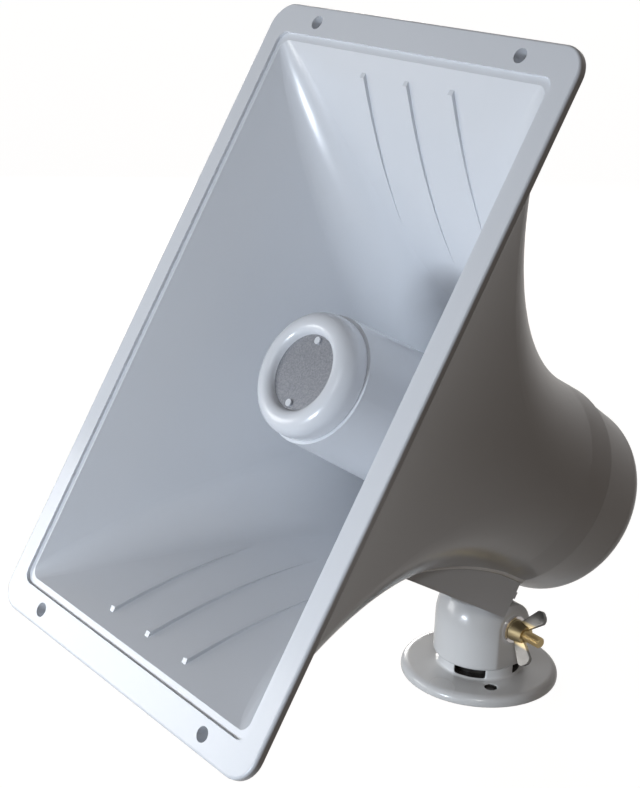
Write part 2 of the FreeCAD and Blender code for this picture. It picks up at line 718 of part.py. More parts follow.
def phase_plug():
    """Bullet on three arms in the rear of the throat tube, in front of the dome."""
    rear = BULKHEAD_FRONT + BULKHEAD_THICK - CHAMBER_DEPTH
    tip = Vector(0, rear - PLUG_LENGTH, 0)
    belly = Vector(PLUG_RADIUS, rear - PLUG_LENGTH * 0.3, 0)
    shoulder = Vector(PLUG_RADIUS * 0.72, rear - PLUG_LENGTH * 0.66, 0)
    edges = [
        Part.Arc(tip, shoulder, belly).toShape(),
        Part.makeLine(belly, Vector(PLUG_RADIUS * 0.9, rear, 0)),
        Part.makeLine(Vector(PLUG_RADIUS * 0.9, rear, 0), Vector(0, rear, 0)),
        Part.makeLine(Vector(0, rear, 0), tip),
    ]
    plug = Part.Face(Part.Wire(edges)).revolve(Vector(0, 0, 0), Y_AXIS, 360)
    arms = []
    for index in range(SPIDER_ARMS):
        arm = block(
            0.0, TUBE_REAR_RADIUS, BULKHEAD_FRONT, rear,
            -PLUG_ARM_THICK / 2, PLUG_ARM_THICK / 2,
        )
        arm.rotate(Vector(0, 0, 0), Y_AXIS, 30.0 + 360.0 * index / SPIDER_ARMS)
        arms.append(arm.common(along_y(TUBE_REAR_RADIUS, BULKHEAD_FRONT, rear)))
    return plug.fuse(arms)


def back_plate_rear():
    return top_plate_front() + TOP_PLATE_THICK + MAGNET_THICK + BACK_PLATE_THICK


def terminal_strip():
    y = back_plate_rear()
    end = y + TERMINAL_DEPTH
    half_width = TERMINAL_WIDTH / 2
    half_height = TERMINAL_HEIGHT / 2
    strip = block(-half_width, half_width, y, end, -half_height, half_height)
    for sign in (-1, 1):
        x = sign * TERMINAL_PITCH / 2
        strip = strip.cut(along_y(TERMINAL_SCREW_RADIUS, y + BLIND_FLOOR, end + THROUGH, x, 0.0))
    return strip


def terminal_screws():
    y = back_plate_rear()
    screws = []
    for sign in (-1, 1):
        x = sign * TERMINAL_PITCH / 2
        shank = along_y(TERMINAL_SCREW_RADIUS, y + BLIND_FLOOR, y + TERMINAL_DEPTH, x, 0.0)
        head_end = y + TERMINAL_DEPTH + TERMINAL_HEAD_HEIGHT
        head = along_y(TERMINAL_HEAD_RADIUS, y + TERMINAL_DEPTH, head_end, x, 0.0)
        screws.append(shank.fuse(head))
    return Part.makeCompound(screws)


def cable_grommet():
    """Flanged rubber bush in the rear wall, with its cable bore left empty."""
    inside = HOUSING_REAR - HOUSING_WALL
    start = inside - GROMMET_LIP_THICK
    end = HOUSING_REAR + GROMMET_LIP_THICK
    lip = INLET_RADIUS + GROMMET_LIP
    body = along_y(INLET_RADIUS, start, end, 0.0, -INLET_DROP)
    outer_lip = along_y(lip, HOUSING_REAR, end, 0.0, -INLET_DROP)
    inner_lip = along_y(lip, start, inside, 0.0, -INLET_DROP)
    body = body.fuse([outer_lip, inner_lip])
    return body.cut(along_y(GROMMET_BORE, start - THROUGH, end + THROUGH, 0.0, -INLET_DROP))


def crown_radius():
    """Room left above the tilt bolt for the knuckle, under the lug's tongue."""
    tongue_bottom = PIVOT_DROP - HOUSING_RADIUS - TONGUE_GAP - TONGUE_THICK
    return tongue_bottom - CROWN_GAP


def above_plane(pitch, distance, half_width):
    """Slab on the far side of a plane that lies at a distance from the bolt at a pitch."""
    reach = 3 * BALL_RADIUS
    slab = block(-half_width, half_width, -reach, reach, distance, reach)
    slab.rotate(Vector(0, 0, 0), X_AXIS, -pitch)
    return slab


def crown_cut():
    """What the tongue sweeps over the whole tilt: all beyond the crown, at both end pitches."""
    reach = 3 * BALL_RADIUS
    radius = crown_radius()
    wedge_points = [Vector(0, 0, 0)]
    for pitch in (PITCH_LOW, (PITCH_LOW + PITCH_HIGH) / 2, PITCH_HIGH):
        angle = math.radians(pitch)
        wedge_points.append(Vector(0, reach * math.sin(angle), reach * math.cos(angle)))
    wire = Part.makePolygon(wedge_points + [wedge_points[0]])
    wedge = Part.Face(wire).extrude(Vector(2 * reach, 0, 0))
    wedge.translate(Vector(-reach, 0, 0))
    wedge = wedge.cut(along_x(radius, -reach, reach))
    low = above_plane(PITCH_LOW, radius, reach)
    high = above_plane(PITCH_HIGH, radius, reach)
    return wedge.fuse([low, high])


def lug_slot():
    """Slot for the lug's ear and for its neck at every pitch."""
    half = LUG_HALF_THICK + SLOT_GAP
    radius = LUG_RADIUS + BALL_GAP
    neck = LUG_NECK + BALL_GAP
    reach = 2 * BALL_RADIUS
    shapes = [along_x(radius, -half, half)]
    for pitch in (PITCH_LOW, PITCH_HIGH):
        arm = block(-half, half, -neck, neck, 0.0, reach)
        arm.rotate(Vector(0, 0, 0), X_AXIS, -pitch)
        shapes.append(arm)
    points = [Vector(0, 0, 0)]
    for pitch in (PITCH_LOW, (PITCH_LOW + PITCH_HIGH) / 2, PITCH_HIGH):
        angle = math.radians(pitch)
        points.append(Vector(0, reach * math.sin(angle), reach * math.cos(angle)))
    wedge = Part.Face(Part.makePolygon(points + [points[0]])).extrude(Vector(2 * half, 0, 0))
    wedge.translate(Vector(-half, 0, 0))
    return shapes[0].fuse(shapes[1:] + [wedge])


def hexagon_prism(flats, start, length):
    corner = flats / math.sqrt(3)
    points = []
    for index in range(6):
        angle = math.radians(60.0 * index)
        points.append(Vector(start, corner * math.cos(angle), corner * math.sin(angle)))
    face = Part.Face(Part.makePolygon(points + [points[0]]))
    return face.extrude(Vector(length, 0, 0))


def head_seat():
    """Where the bolt's head bears, on the knuckle's far side."""
    return -SEAT_HALF_WIDTH + BOLT_HEAD_HEIGHT


def swivel_knuckle():
    """Ball on a round stem, slotted for the lug, on a spindle that turns in the base."""
    foot = SWIVEL_COLLAR_TOP + SWIVEL_GAP
    stem = along_z(STEM_RADIUS, foot, PIVOT_HEIGHT)
    stem = stem.makeChamfer(STEM_CHAMFER, [edge for edge in stem.Edges if edge.CenterOfMass.z < foot + 0.01])
    ball = Part.makeSphere(BALL_RADIUS, Vector(0, 0, PIVOT_HEIGHT))
    ball = ball.cut(along_z(2 * BALL_RADIUS, PIVOT_HEIGHT - 2 * BALL_RADIUS, foot + STEM_CHAMFER))
    spindle = along_z(SPINDLE_RADIUS, SPINDLE_END, foot + STEM_CHAMFER)
    body = stem.fuse([ball, spindle])
    body.translate(Vector(0, 0, -PIVOT_HEIGHT))
    body = body.cut(crown_cut())
    body = body.cut(lug_slot())
    body = body.cut(along_x(BALL_RADIUS, SEAT_HALF_WIDTH, 2 * BALL_RADIUS))
    body = body.cut(along_x(BALL_RADIUS, -2 * BALL_RADIUS, -SEAT_HALF_WIDTH))
    body = body.cut(along_x(BOLT_RADIUS + RUNNING_GAP, -BALL_RADIUS, BALL_RADIUS))
    body = body.cut(hexagon_prism(BOLT_HEAD_FLATS + 2 * HEAD_GAP, head_seat(), -BALL_RADIUS))
    body.translate(Vector(0, 0, PIVOT_HEIGHT))
    groove = turned([
        (SPINDLE_RADIUS - CLIP_GROOVE, clip_floor()), (SPINDLE_RADIUS + THROUGH, clip_floor()),
        (SPINDLE_RADIUS + THROUGH, clip_floor() + CLIP_THICK),
        (SPINDLE_RADIUS - CLIP_GROOVE, clip_floor() + CLIP_THICK),
    ], axis=Z_AXIS)
    return body.cut(groove)


def clip_floor():
    return RECESS_DEPTH - CLIP_GAP - CLIP_THICK


def retaining_clip():
    """Spring ring in the spindle's groove, under the base's web."""
    low = clip_floor()
    ring = along_z(CLIP_RADIUS, low, low + CLIP_THICK)
    ring = ring.cut(along_z(SPINDLE_RADIUS - CLIP_GROOVE, low - THROUGH, low + CLIP_THICK + THROUGH))
    half = math.radians(CLIP_OPENING / 2)
    reach = 2 * CLIP_RADIUS
    points = [
        Vector(0, 0, low - THROUGH),
        Vector(reach * math.cos(half), -reach * math.sin(half), low - THROUGH),
        Vector(reach * math.cos(half), reach * math.sin(half), low - THROUGH),
    ]
    mouth = Part.Face(Part.makePolygon(points + [points[0]])).extrude(Vector(0, 0, CLIP_THICK + 2))
    return ring.cut(mouth)


def base_flange():
    """Round foot with its castellated swivel collar, screw holes and clip recess."""
    disc = along_z(BASE_RADIUS, 0.0, BASE_THICK)
    top_rim = [edge for edge in disc.Edges if edge.CenterOfMass.z > BASE_THICK - 0.01]
    disc = disc.makeFillet(BASE_ROUND, top_rim)
    foot_rim = []
    for edge in disc.Edges:
        if abs(edge.BoundBox.ZMax) < 0.01 and edge.BoundBox.XLength > BASE_RADIUS:
            foot_rim.append(edge)
    disc = disc.makeFillet(BASE_FOOT_ROUND, foot_rim)
    collar_ring = along_z(SWIVEL_COLLAR_RADIUS, BASE_THICK, SWIVEL_COLLAR_TOP)
    body = disc.fuse(collar_ring)
    body = body.cut(along_z(SPINDLE_RADIUS + RUNNING_GAP, -THROUGH, SWIVEL_COLLAR_TOP + THROUGH))
    body = body.cut(along_z(RECESS_RADIUS, -THROUGH, RECESS_DEPTH))
    reach = SWIVEL_COLLAR_RADIUS + THROUGH
    half_chord = SWIVEL_COLLAR_RADIUS * math.sin(math.radians(CASTLE_SPAN / 2))
    for index in range(CASTLE_COUNT):
        window = block(0.0, reach, -half_chord, half_chord, CASTLE_SILL, SWIVEL_COLLAR_TOP + THROUGH)
        window.rotate(Vector(0, 0, 0), Z_AXIS, CASTLE_TURN + 360.0 * index / CASTLE_COUNT)
        body = body.cut(window)
    for index in range(BASE_HOLE_COUNT):
        angle = math.radians(BASE_HOLE_TURN + 360.0 * index / BASE_HOLE_COUNT)
        x = BASE_HOLE_CIRCLE / 2 * math.cos(angle)
        y = BASE_HOLE_CIRCLE / 2 * math.sin(angle)
        body = body.cut(along_z(BASE_HOLE_RADIUS, -THROUGH, BASE_THICK + THROUGH, x, y))
    return body


def clamp_bolt():
    """Hex-headed bolt along the tilt axis, its head caught in the knuckle."""
    start = head_seat()
    shank = along_x(BOLT_RADIUS, start, BOLT_END, 0.0, PIVOT_HEIGHT)
    tip = [edge for edge in shank.Edges if edge.CenterOfMass.x > BOLT_END - 0.01]
    shank = shank.makeChamfer(BOLT_TIP_CHAMFER, tip)
    head = hexagon_prism(BOLT_HEAD_FLATS, start, -BOLT_HEAD_HEIGHT)
    head.translate(Vector(0, 0, PIVOT_HEIGHT))
    return shank.fuse(head)


def clamp_washer():
    end = SEAT_HALF_WIDTH + WASHER_THICK
    ring = along_x(WASHER_RADIUS, SEAT_HALF_WIDTH, end, 0.0, PIVOT_HEIGHT)
    return ring.cut(along_x(BOLT_RADIUS + RUNNING_GAP, 0.0, end + THROUGH, 0.0, PIVOT_HEIGHT))


def nut_wing(start):
    """One wing in the plane of the nut's axis: a plate that leans and widens outwards."""
    root = Vector(NUT_HUB_LENGTH * 0.45, 0, NUT_NOSE_RADIUS * 0.6)
    tip = Vector(NUT_WING_RISE, 0, NUT_WING_REACH)
    along = (tip - root).normalize()
    across = Vector(along.z, 0, -along.x)
    root_half = across * (NUT_WING_ROOT / 2)
    tip_half = across * (NUT_WING_WIDTH / 2)
    corner = NUT_WING_WIDTH * 0.3
    shoulder = tip - along * corner
    edges = [
        Part.makeLine(root - root_half, shoulder - tip_half),
        Part.Arc(
            shoulder - tip_half, tip - tip_half * 0.55 - along * corner * 0.1, tip - tip_half * 0.1,
        ).toShape(),
        Part.Arc(
            tip - tip_half * 0.1, tip + tip_half * 0.55 - along * corner * 0.1, shoulder + tip_half,
        ).toShape(),
        Part.makeLine(shoulder + tip_half, root + root_half),
        Part.makeLine(root + root_half, root - root_half),
    ]
    face = Part.Face(Part.Wire(edges))
    face.translate(Vector(start, -NUT_WING_THICK / 2, 0))
    return face.extrude(Vector(0, NUT_WING_THICK, 0))


def wing_nut():
    """Coned hub with two leaning wings, on the bolt outside the washer."""
    start = SEAT_HALF_WIDTH + WASHER_THICK + NUT_GAP
    hub = Part.makeCone(NUT_HUB_RADIUS, NUT_NOSE_RADIUS, NUT_HUB_LENGTH, Vector(start, 0, 0), X_AXIS)
    wing = nut_wing(start)
    other = wing.copy()
    other.rotate(Vector(0, 0, 0), X_AXIS, 180)
    body = hub.fuse([wing, other])
    body = body.cut(along_x(BOLT_RADIUS + RUNNING_GAP, 0.0, BOLT_END + THROUGH))
    body = body.cut(along_x(2 * NUT_WING_REACH, 0.0, start))
    body.rotate(Vector(0, 0, 0), X_AXIS, -NUT_TURN)
    body.translate(Vector(0, 0, PIVOT_HEIGHT))
    return body


HORN_PIECES = {
    "horn_bell": horn_bell,
    "reflector": reflector,
    "front_cap": front_cap,
    "label_plate": label_plate,
    "label_pins": label_pins,
    "centre_screw": centre_screw,
    "throat_tube": throat_tube,
    "phase_plug": phase_plug,
    "driver_gasket": driver_gasket,
    "diaphragm": diaphragm,
    "voice_coil": voice_coil,
    "driver_top_plate": driver_top_plate,
    "driver_magnet": driver_magnet,
    "driver_back_plate": driver_back_plate,
    "driver_screws": driver_screws,
    "terminal_strip": terminal_strip,
    "terminal_screws": terminal_screws,
    "rear_housing": rear_housing,
    "housing_screws": housing_screws,
    "cable_grommet": cable_grommet,
}

STAND_PIECES = {
    "swivel_knuckle": swivel_knuckle,
    "retaining_clip": retaining_clip,
    "clamp_bolt": clamp_bolt,
    "clamp_washer": clamp_washer,
    "wing_nut": wing_nut,
    "base_flange": base_flange,
}


def save(name, shape):
    if not shape.isValid():
        print("not valid:", name)
    shape.exportStep(os.path.join("parts", name + ".step"))
    print(name, "solids", len(shape.Solids), "volume", round(shape.Volume, 1))


def main():
    os.makedirs("parts", exist_ok=True)
    for name, make in HORN_PIECES.items():
        save(name, tilt_to_rest(make()))
    for name, make in STAND_PIECES.items():
        save(name, make())


main()
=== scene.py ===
import json
import math

import bmesh
import bpy
from bpy.props import FloatProperty, FloatVectorProperty, PointerProperty
from mathutils import Matrix, Vector
from mathutils.bvhtree import BVHTree


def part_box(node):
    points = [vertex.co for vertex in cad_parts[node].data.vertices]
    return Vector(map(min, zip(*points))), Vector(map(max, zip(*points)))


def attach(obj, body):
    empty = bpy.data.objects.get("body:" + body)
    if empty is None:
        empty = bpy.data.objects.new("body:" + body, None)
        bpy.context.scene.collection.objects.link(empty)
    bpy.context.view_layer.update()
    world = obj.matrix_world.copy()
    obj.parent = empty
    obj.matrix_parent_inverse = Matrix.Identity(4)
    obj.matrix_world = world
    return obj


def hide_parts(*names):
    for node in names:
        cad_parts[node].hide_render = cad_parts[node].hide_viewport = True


bl_info = {
    "name": "Rectangular Address Horn",
    "version": (1, 0, 0),
    "blender": (4, 5, 0),
    "location": "View3D > Sidebar > Horn",
    "description": "Dresses the address horn's fixed frame and sets its stage",
    "category": "Object",
}

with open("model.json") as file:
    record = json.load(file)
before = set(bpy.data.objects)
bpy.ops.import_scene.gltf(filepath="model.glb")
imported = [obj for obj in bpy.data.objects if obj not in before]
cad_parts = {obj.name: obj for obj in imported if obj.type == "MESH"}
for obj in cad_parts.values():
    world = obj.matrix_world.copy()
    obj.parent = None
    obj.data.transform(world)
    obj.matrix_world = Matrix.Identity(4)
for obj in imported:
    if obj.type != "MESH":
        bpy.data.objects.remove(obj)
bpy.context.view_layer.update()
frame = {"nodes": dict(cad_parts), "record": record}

# The horn's own axes and the bolt's height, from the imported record
RECORD = {item["name"]: item for item in frame["record"]["mounts"] + frame["record"]["behaviour"]["joints"]}
MOUTH_CENTRE = Vector(RECORD["flange_holes"]["pos_m"])
MOUTH_AHEAD = Vector(RECORD["flange_holes"]["axis"]).normalized()
MOUTH_UP = Vector((1, 0, 0)).cross(-MOUTH_AHEAD)
BOLT_HEIGHT = RECORD["tilt"]["pos_m"][2]

# Rear housing's screws. All lengths here and below are in metres
HOUSING_REAR = 0.202
SCREW_SEAT_SINK = 0.0002
FIRST_SCREW_DEGREES = 45.0
SCREW_SIZES = {
    "Count": 4, "Circle Radius": 0.0356, "Head Radius": 0.003, "Head Height": 0.0022,
    "Dome Radius": 0.0055, "Recess Length": 0.0034, "Recess Width": 0.0007, "Recess Depth": 0.0011,
    "Shank Radius": 0.0016, "Shank Length": 0.04,
}
DOME_SEGMENTS, DOME_RINGS = 64, 48
HEAD_SIDES, SHANK_SIDES = 40, 24

# Clamp bolt, with its places along X
BOLT_HEAD_START, BOLT_HEAD_END = -0.0198, -0.0163
BOLT_THREAD_START, BOLT_TIP = 0.0275, 0.037
BOLT_RADIUS = 0.0025
BOLT_FLATS = 0.008
BOLT_FACE_RADIUS = 0.0034
BOLT_CORNER_RADIUS = 0.0038
BOLT_HEAD_CHAMFER = 0.0004
BOLT_TIP_CHAMFER = 0.0006
BOLT_SIDES = 48
HEX_SECTOR = math.radians(60.0)
THREAD_PITCH = 0.0008
THREAD_DEPTH = 0.0004
THREAD_CREST, THREAD_FLANK = 1.35, 1.7
ROWS_A_PITCH = 8

# Painted shade on the knuckle's spindle and in the base's collar windows, bore and screw holes, and the wing
# nut's brass hub
SPINDLE_TOP = 0.0101
BASE_TOP = 0.0052
COLLAR_TOP = 0.0097
COLLAR_SKIN = 0.0186
HOLE_OFFSET = 0.0253
HOLE_RADIUS = 0.0029
HOLE_TURN_DEGREES = 31.4
NUT_HUB_RADIUS = 0.0052
HUB_FADE_OUTSIDE, HUB_FADE_INSIDE = 0.0008, 0.0004

# Rounded moulded edges: each node's remesh voxel and the smoothing passes after it
SOFTENING = {"front_cap": (0.0004, 14), "swivel_knuckle": (0.0005, 5), "base_flange": (0.0005, 5)}
SMOOTHING_SHARE = 0.5

# Bead along the saddle, measured in the horn's own frame
SADDLE_HALF_WIDTH = 0.025
SADDLE_FRONT, SADDLE_REAR = 0.090, 0.1675
SADDLE_DROP = 0.0585
BEAD_RADIUS = 0.0012
BEAD_SIZES = {"Bead Radius": BEAD_RADIUS, "Bead Sides": 12}
BEAD_OUTSET = BEAD_RADIUS / 3
BEAD_STEPS = 60

# Vertices nearer than this are merged, and edges up to these angles in degrees are shaded smooth
MERGE_DISTANCE = 0.000001
SMOOTH_ALL, BEAD_CREASE, BOLT_CREASE, SCREW_CREASE = 180.0, 60.0, 40.0, 28.0

# Looks
WHITE = (1.0, 1.0, 1.0, 1.0)
COAT_ROUGHNESS = 0.12
PLASTIC_RELIEF, METAL_RELIEF = 0.0004, 0.0002
STREAK_SPREAD = 0.16
# Near-black painted shade for the spindle, the collar's windows and bore and the base's screw holes
PAINTED_SHADE = (0.03, 0.027, 0.025, 1.0)
HUB_BRASS = (0.55, 0.44, 0.25, 1.0)
SHELL = dict(coat=0.25, mottle=0.12, spread=0.0)
STAND = dict(worn=(0.66, 0.66, 0.64), roughness=0.26, coat=0.35)
# The bead's colours are lighter than the shell's: a painted highlight along the saddle's edge. Its low
# roughness and full coat give its gloss.
BEAD = dict(
    colour=(0.88, 0.87, 0.86), worn=(0.8, 0.78, 0.76), roughness=0.14, coat=1.0, mottle=0.2, spread=0.0,
)
INNER_PLASTICS = {
    "grey_inner_plastic": dict(colour=(0.42, 0.44, 0.46), worn=(0.3, 0.31, 0.32), roughness=0.5),
    "seal_rubber": dict(colour=(0.03, 0.03, 0.03), worn=(0.06, 0.06, 0.06), roughness=0.6, bump=0.1),
    "pressed_dome_film": dict(colour=(0.45, 0.3, 0.14), worn=(0.35, 0.22, 0.1), roughness=0.35),
    "sintered_ferrite": dict(colour=(0.05, 0.05, 0.055), worn=(0.08, 0.08, 0.08), roughness=0.55, bump=0.2),
    "terminal_phenolic": dict(colour=(0.06, 0.06, 0.065), worn=(0.09, 0.08, 0.08), roughness=0.45),
}
METALS = {
    "plated_wing_nut": dict(
        colour=(0.24, 0.235, 0.225), worn=(0.08, 0.075, 0.07), roughness=0.34, patch=0.8, bump=0.25,
    ),
    "plated_bolt": dict(colour=(0.6, 0.46, 0.24), worn=(0.2, 0.14, 0.06), roughness=0.3, patch=0.6),
    "bright_screw_steel": dict(colour=(0.62, 0.62, 0.62), worn=(0.35, 0.34, 0.33), roughness=0.3),
    "polished_washer": dict(colour=(0.8, 0.77, 0.76), worn=(0.5, 0.47, 0.45), roughness=0.22),
    "blank_label_foil": dict(
        colour=(0.42, 0.44, 0.48), worn=(0.10, 0.11, 0.14), roughness=0.40,
        patch=0.9, patch_scale=1300.0, stretch=(300.0, 4200.0, 4200.0), bump=0.35,
    ),
    "blued_spring_steel": dict(colour=(0.25, 0.25, 0.28), worn=(0.12, 0.12, 0.13), roughness=0.4),
    "zinc_passivated_plate": dict(colour=(0.5, 0.5, 0.46), worn=(0.3, 0.3, 0.26), roughness=0.45),
    "enamelled_copper": dict(colour=(0.7, 0.35, 0.18), worn=(0.4, 0.16, 0.08), roughness=0.35),
}
INNER_NODES = {
    "throat_tube": "grey_inner_plastic", "phase_plug": "grey_inner_plastic", "cable_grommet": "seal_rubber",
    "driver_gasket": "seal_rubber", "diaphragm": "pressed_dome_film", "driver_magnet": "sintered_ferrite",
    "terminal_strip": "terminal_phenolic",
}
METAL_NODES = {
    "wing_nut": "plated_wing_nut", "clamp_washer": "polished_washer", "label_plate": "blank_label_foil",
    "centre_screw": "bright_screw_steel", "driver_screws": "bright_screw_steel",
    "terminal_screws": "bright_screw_steel", "retaining_clip": "blued_spring_steel",
    "driver_top_plate": "zinc_passivated_plate", "driver_back_plate": "zinc_passivated_plate",
    "voice_coil": "enamelled_copper",
}


# Node helpers

def group_socket(tree, name, kind, in_out, default=None):
    socket = tree.interface.new_socket(name=name, in_out=in_out, socket_type=kind)
    if default is not None:
        socket.default_value = default


def add_node(tree, kind, **values):
    node = tree.nodes.new(kind)
    for name, value in values.items():
        setattr(node, name, value)
    return node


def feed(tree, socket, value):
    """Give a socket another node's output, or a plain value."""
    if hasattr(value, "is_output"):
        tree.links.new(value, socket)
    else:
        socket.default_value = value


def math_node(tree, operation, *values):
    node = add_node(tree, "ShaderNodeMath", operation=operation)
    for socket, value in zip(node.inputs, values):
        feed(tree, socket, value)
    return node.outputs[0]


def plane_reach(tree, across, deep):
    """The length of two offsets at right angles."""
    squares = [math_node(tree, "MULTIPLY", value, value) for value in (across, deep)]
    return math_node(tree, "SQRT", math_node(tree, "ADD", *squares))


def noise_node(tree, vector, scale, detail=3.0, roughness=0.5):
    node = add_node(tree, "ShaderNodeTexNoise")
    for label, value in (("Vector", vector), ("Scale", scale), ("Detail", detail), ("Roughness", roughness)):
        feed(tree, node.inputs[label], value)
    return node.outputs["Fac"]


def colour_mix(tree, share, first, second):
    node = add_node(tree, "ShaderNodeMix", data_type="RGBA")
    for label, value in (("Factor", share), ("A", first), ("B", second)):
        feed(tree, node.inputs[label], value)
    return node.outputs["Result"]


def object_place(tree):
    return add_node(tree, "ShaderNodeTexCoord").outputs["Object"]


# Shader groups and materials

def surface_group(name, sizes, build):
    """A group, made once, that drifts between two colours and gives a roughness and a height."""
    tree = bpy.data.node_groups.get(name)
    if tree:
        return tree
    tree = bpy.data.node_groups.new(name, "ShaderNodeTree")
    for label in ("Colour", "Worn Colour"):
        group_socket(tree, label, "NodeSocketColor", "INPUT")
    for label, value in sizes.items():
        kind = "NodeSocketFloat" if isinstance(value, float) else "NodeSocketVector"
        group_socket(tree, label, kind, "INPUT", value)
    group_socket(tree, "Colour", "NodeSocketColor", "OUTPUT")
    group_socket(tree, "Roughness", "NodeSocketFloat", "OUTPUT")
    group_socket(tree, "Height", "NodeSocketFloat", "OUTPUT")
    enter = add_node(tree, "NodeGroupInput").outputs
    leave = add_node(tree, "NodeGroupOutput").inputs
    share, rough, height = build(tree, enter, object_place(tree))
    feed(tree, leave["Colour"], colour_mix(tree, share, enter["Colour"], enter["Worn Colour"]))
    feed(tree, leave["Roughness"], rough)
    feed(tree, leave["Height"], height)
    return tree


def moulded_skin(tree, size, place):
    """Slow mottling and a fine moulded grain, for plastic and rubber."""
    mottle = noise_node(tree, place, size["Mottle Scale"], detail=0.0)
    grain = noise_node(tree, place, size["Grain Scale"], detail=2.0)
    share = math_node(tree, "MULTIPLY", mottle, size["Mottle Amount"])
    drift = math_node(tree, "MULTIPLY", math_node(tree, "SUBTRACT", mottle, 0.5), size["Roughness Spread"])
    return share, math_node(tree, "ADD", size["Roughness"], drift), grain


def drawn_metal(tree, size, place):
    """Fine streaks along one direction with dull patches, for plated and turned metal."""
    stretched = add_node(tree, "ShaderNodeVectorMath", operation="MULTIPLY")
    feed(tree, stretched.inputs[0], place)
    feed(tree, stretched.inputs[1], size["Stretch"])
    streak = noise_node(tree, stretched.outputs[0], 1.0, detail=2.0, roughness=0.6)
    patch = noise_node(tree, place, size["Patch Scale"], roughness=0.6)
    share = math_node(tree, "MULTIPLY", patch, size["Patch Amount"])
    rough = math_node(tree, "ADD", size["Roughness"], math_node(tree, "MULTIPLY", streak, STREAK_SPREAD))
    return share, math_node(tree, "SUBTRACT", rough, STREAK_SPREAD / 2), streak


def surfaced(name, group, values, bump, distance):
    """A material that takes its colour, roughness and relief from a shader group."""
    material = bpy.data.materials.new(name)
    material.use_nodes = True
    tree = material.node_tree
    shader = tree.nodes["Principled BSDF"]
    skin = add_node(tree, "ShaderNodeGroup", node_tree=group)
    for label, value in values.items():
        skin.inputs[label].default_value = value
    relief = add_node(tree, "ShaderNodeBump")
    relief.inputs["Strength"].default_value = bump
    relief.inputs["Distance"].default_value = distance
    feed(tree, relief.inputs["Height"], skin.outputs["Height"])
    feed(tree, shader.inputs["Base Color"], skin.outputs["Colour"])
    feed(tree, shader.inputs["Roughness"], skin.outputs["Roughness"])
    feed(tree, shader.inputs["Normal"], relief.outputs["Normal"])
    return material, shader


def plastic(name, colour, worn, roughness, coat=0.0, mottle=0.3, bump=0.012, spread=0.06):
    group = surface_group("Moulded Skin", {
        "Mottle Scale": 18.0, "Mottle Amount": 0.3, "Grain Scale": 160.0,
        "Roughness": 0.3, "Roughness Spread": 0.06,
    }, moulded_skin)
    material, shader = surfaced(name, group, {
        "Colour": (*colour, 1.0), "Worn Colour": (*worn, 1.0), "Mottle Amount": mottle,
        "Roughness": roughness, "Roughness Spread": spread,
    }, bump, PLASTIC_RELIEF)
    shader.inputs["Coat Weight"].default_value = coat
    shader.inputs["Coat Roughness"].default_value = COAT_ROUGHNESS
    return material


def metal(
    name, colour, worn, roughness, patch=0.3, patch_scale=160.0, stretch=(60.0, 1400.0, 1400.0), bump=0.08,
):
    group = surface_group("Drawn Metal", {
        "Stretch": (60.0, 1400.0, 1400.0), "Patch Scale": 160.0, "Patch Amount": 0.3, "Roughness": 0.35,
    }, drawn_metal)
    material, shader = surfaced(name, group, {
        "Colour": (*colour, 1.0), "Worn Colour": (*worn, 1.0), "Stretch": stretch,
        "Patch Scale": patch_scale, "Patch Amount": patch, "Roughness": roughness,
    }, bump, METAL_RELIEF)
    shader.inputs["Metallic"].default_value = 1.0
    return material


def recolour(tree, share, colour):
    """Lay a plain colour over a material's base colour where a mask says."""
    base = tree.nodes["Principled BSDF"].inputs["Base Color"]
    under = base.links[0].from_socket
    feed(tree, base, colour_mix(tree, share, under, colour))


def coat_node(name, material):
    """Give a frame node one material in all its slots."""
    slots = frame["nodes"][name].data.materials
    if not len(slots):
        slots.append(material)
    for index in range(len(slots)):
        slots[index] = material


# Geometry trees and piece making

def linked(name, data):
    """A new object for some data, in the scene."""
    thing = bpy.data.objects.new(name, data)
    bpy.context.scene.collection.objects.link(thing)
    return thing


def geometry_tree(name, sizes):
    """A tree with named sizes and a material going in and a geometry coming out."""
    tree = bpy.data.node_groups.new(name, "GeometryNodeTree")
    group_socket(tree, "Geometry", "NodeSocketGeometry", "INPUT")
    for label, value in sizes.items():
        kind = "NodeSocketInt" if isinstance(value, int) else "NodeSocketFloat"
        group_socket(tree, label, kind, "INPUT", value)
    group_socket(tree, "Material", "NodeSocketMaterial", "INPUT")
    group_socket(tree, "Geometry", "NodeSocketGeometry", "OUTPUT")
    return tree, add_node(tree, "NodeGroupInput").outputs


def close_tree(tree, size, geometry):
    """End a tree in real geometry with its material set."""
    real = add_node(tree, "GeometryNodeRealizeInstances")
    feed(tree, real.inputs[0], geometry)
    finish = add_node(tree, "GeometryNodeSetMaterial")
    feed(tree, finish.inputs["Geometry"], real.outputs[0])
    feed(tree, finish.inputs["Material"], size["Material"])
    feed(tree, add_node(tree, "NodeGroupOutput").inputs[0], finish.outputs[0])


def raised(tree, geometry, height):
    """Lift a geometry along Z by a socket's value."""
    place = add_node(tree, "ShaderNodeCombineXYZ")
    feed(tree, place.inputs["Z"], height)
    shift = add_node(tree, "GeometryNodeTransform")
    feed(tree, shift.inputs["Geometry"], geometry)
    feed(tree, shift.inputs["Translation"], place.outputs[0])
    return shift.outputs[0]


def rod(tree, radius, length, sides):
    node = add_node(tree, "GeometryNodeMeshCylinder")
    node.inputs["Vertices"].default_value = sides
    feed(tree, node.inputs["Radius"], radius)
    feed(tree, node.inputs["Depth"], length)
    return node.outputs["Mesh"]


def baked(carrier, name):
    """The plain mesh that a carrier's modifiers make. The carrier goes away."""
    grown = carrier.evaluated_get(bpy.context.evaluated_depsgraph_get())
    mesh = bpy.data.meshes.new_from_object(grown)
    carrier.modifiers.clear()
    bpy.data.objects.remove(carrier)
    if not len(mesh.polygons):
        raise RuntimeError(name + " came out empty")
    mesh.name = name
    return mesh


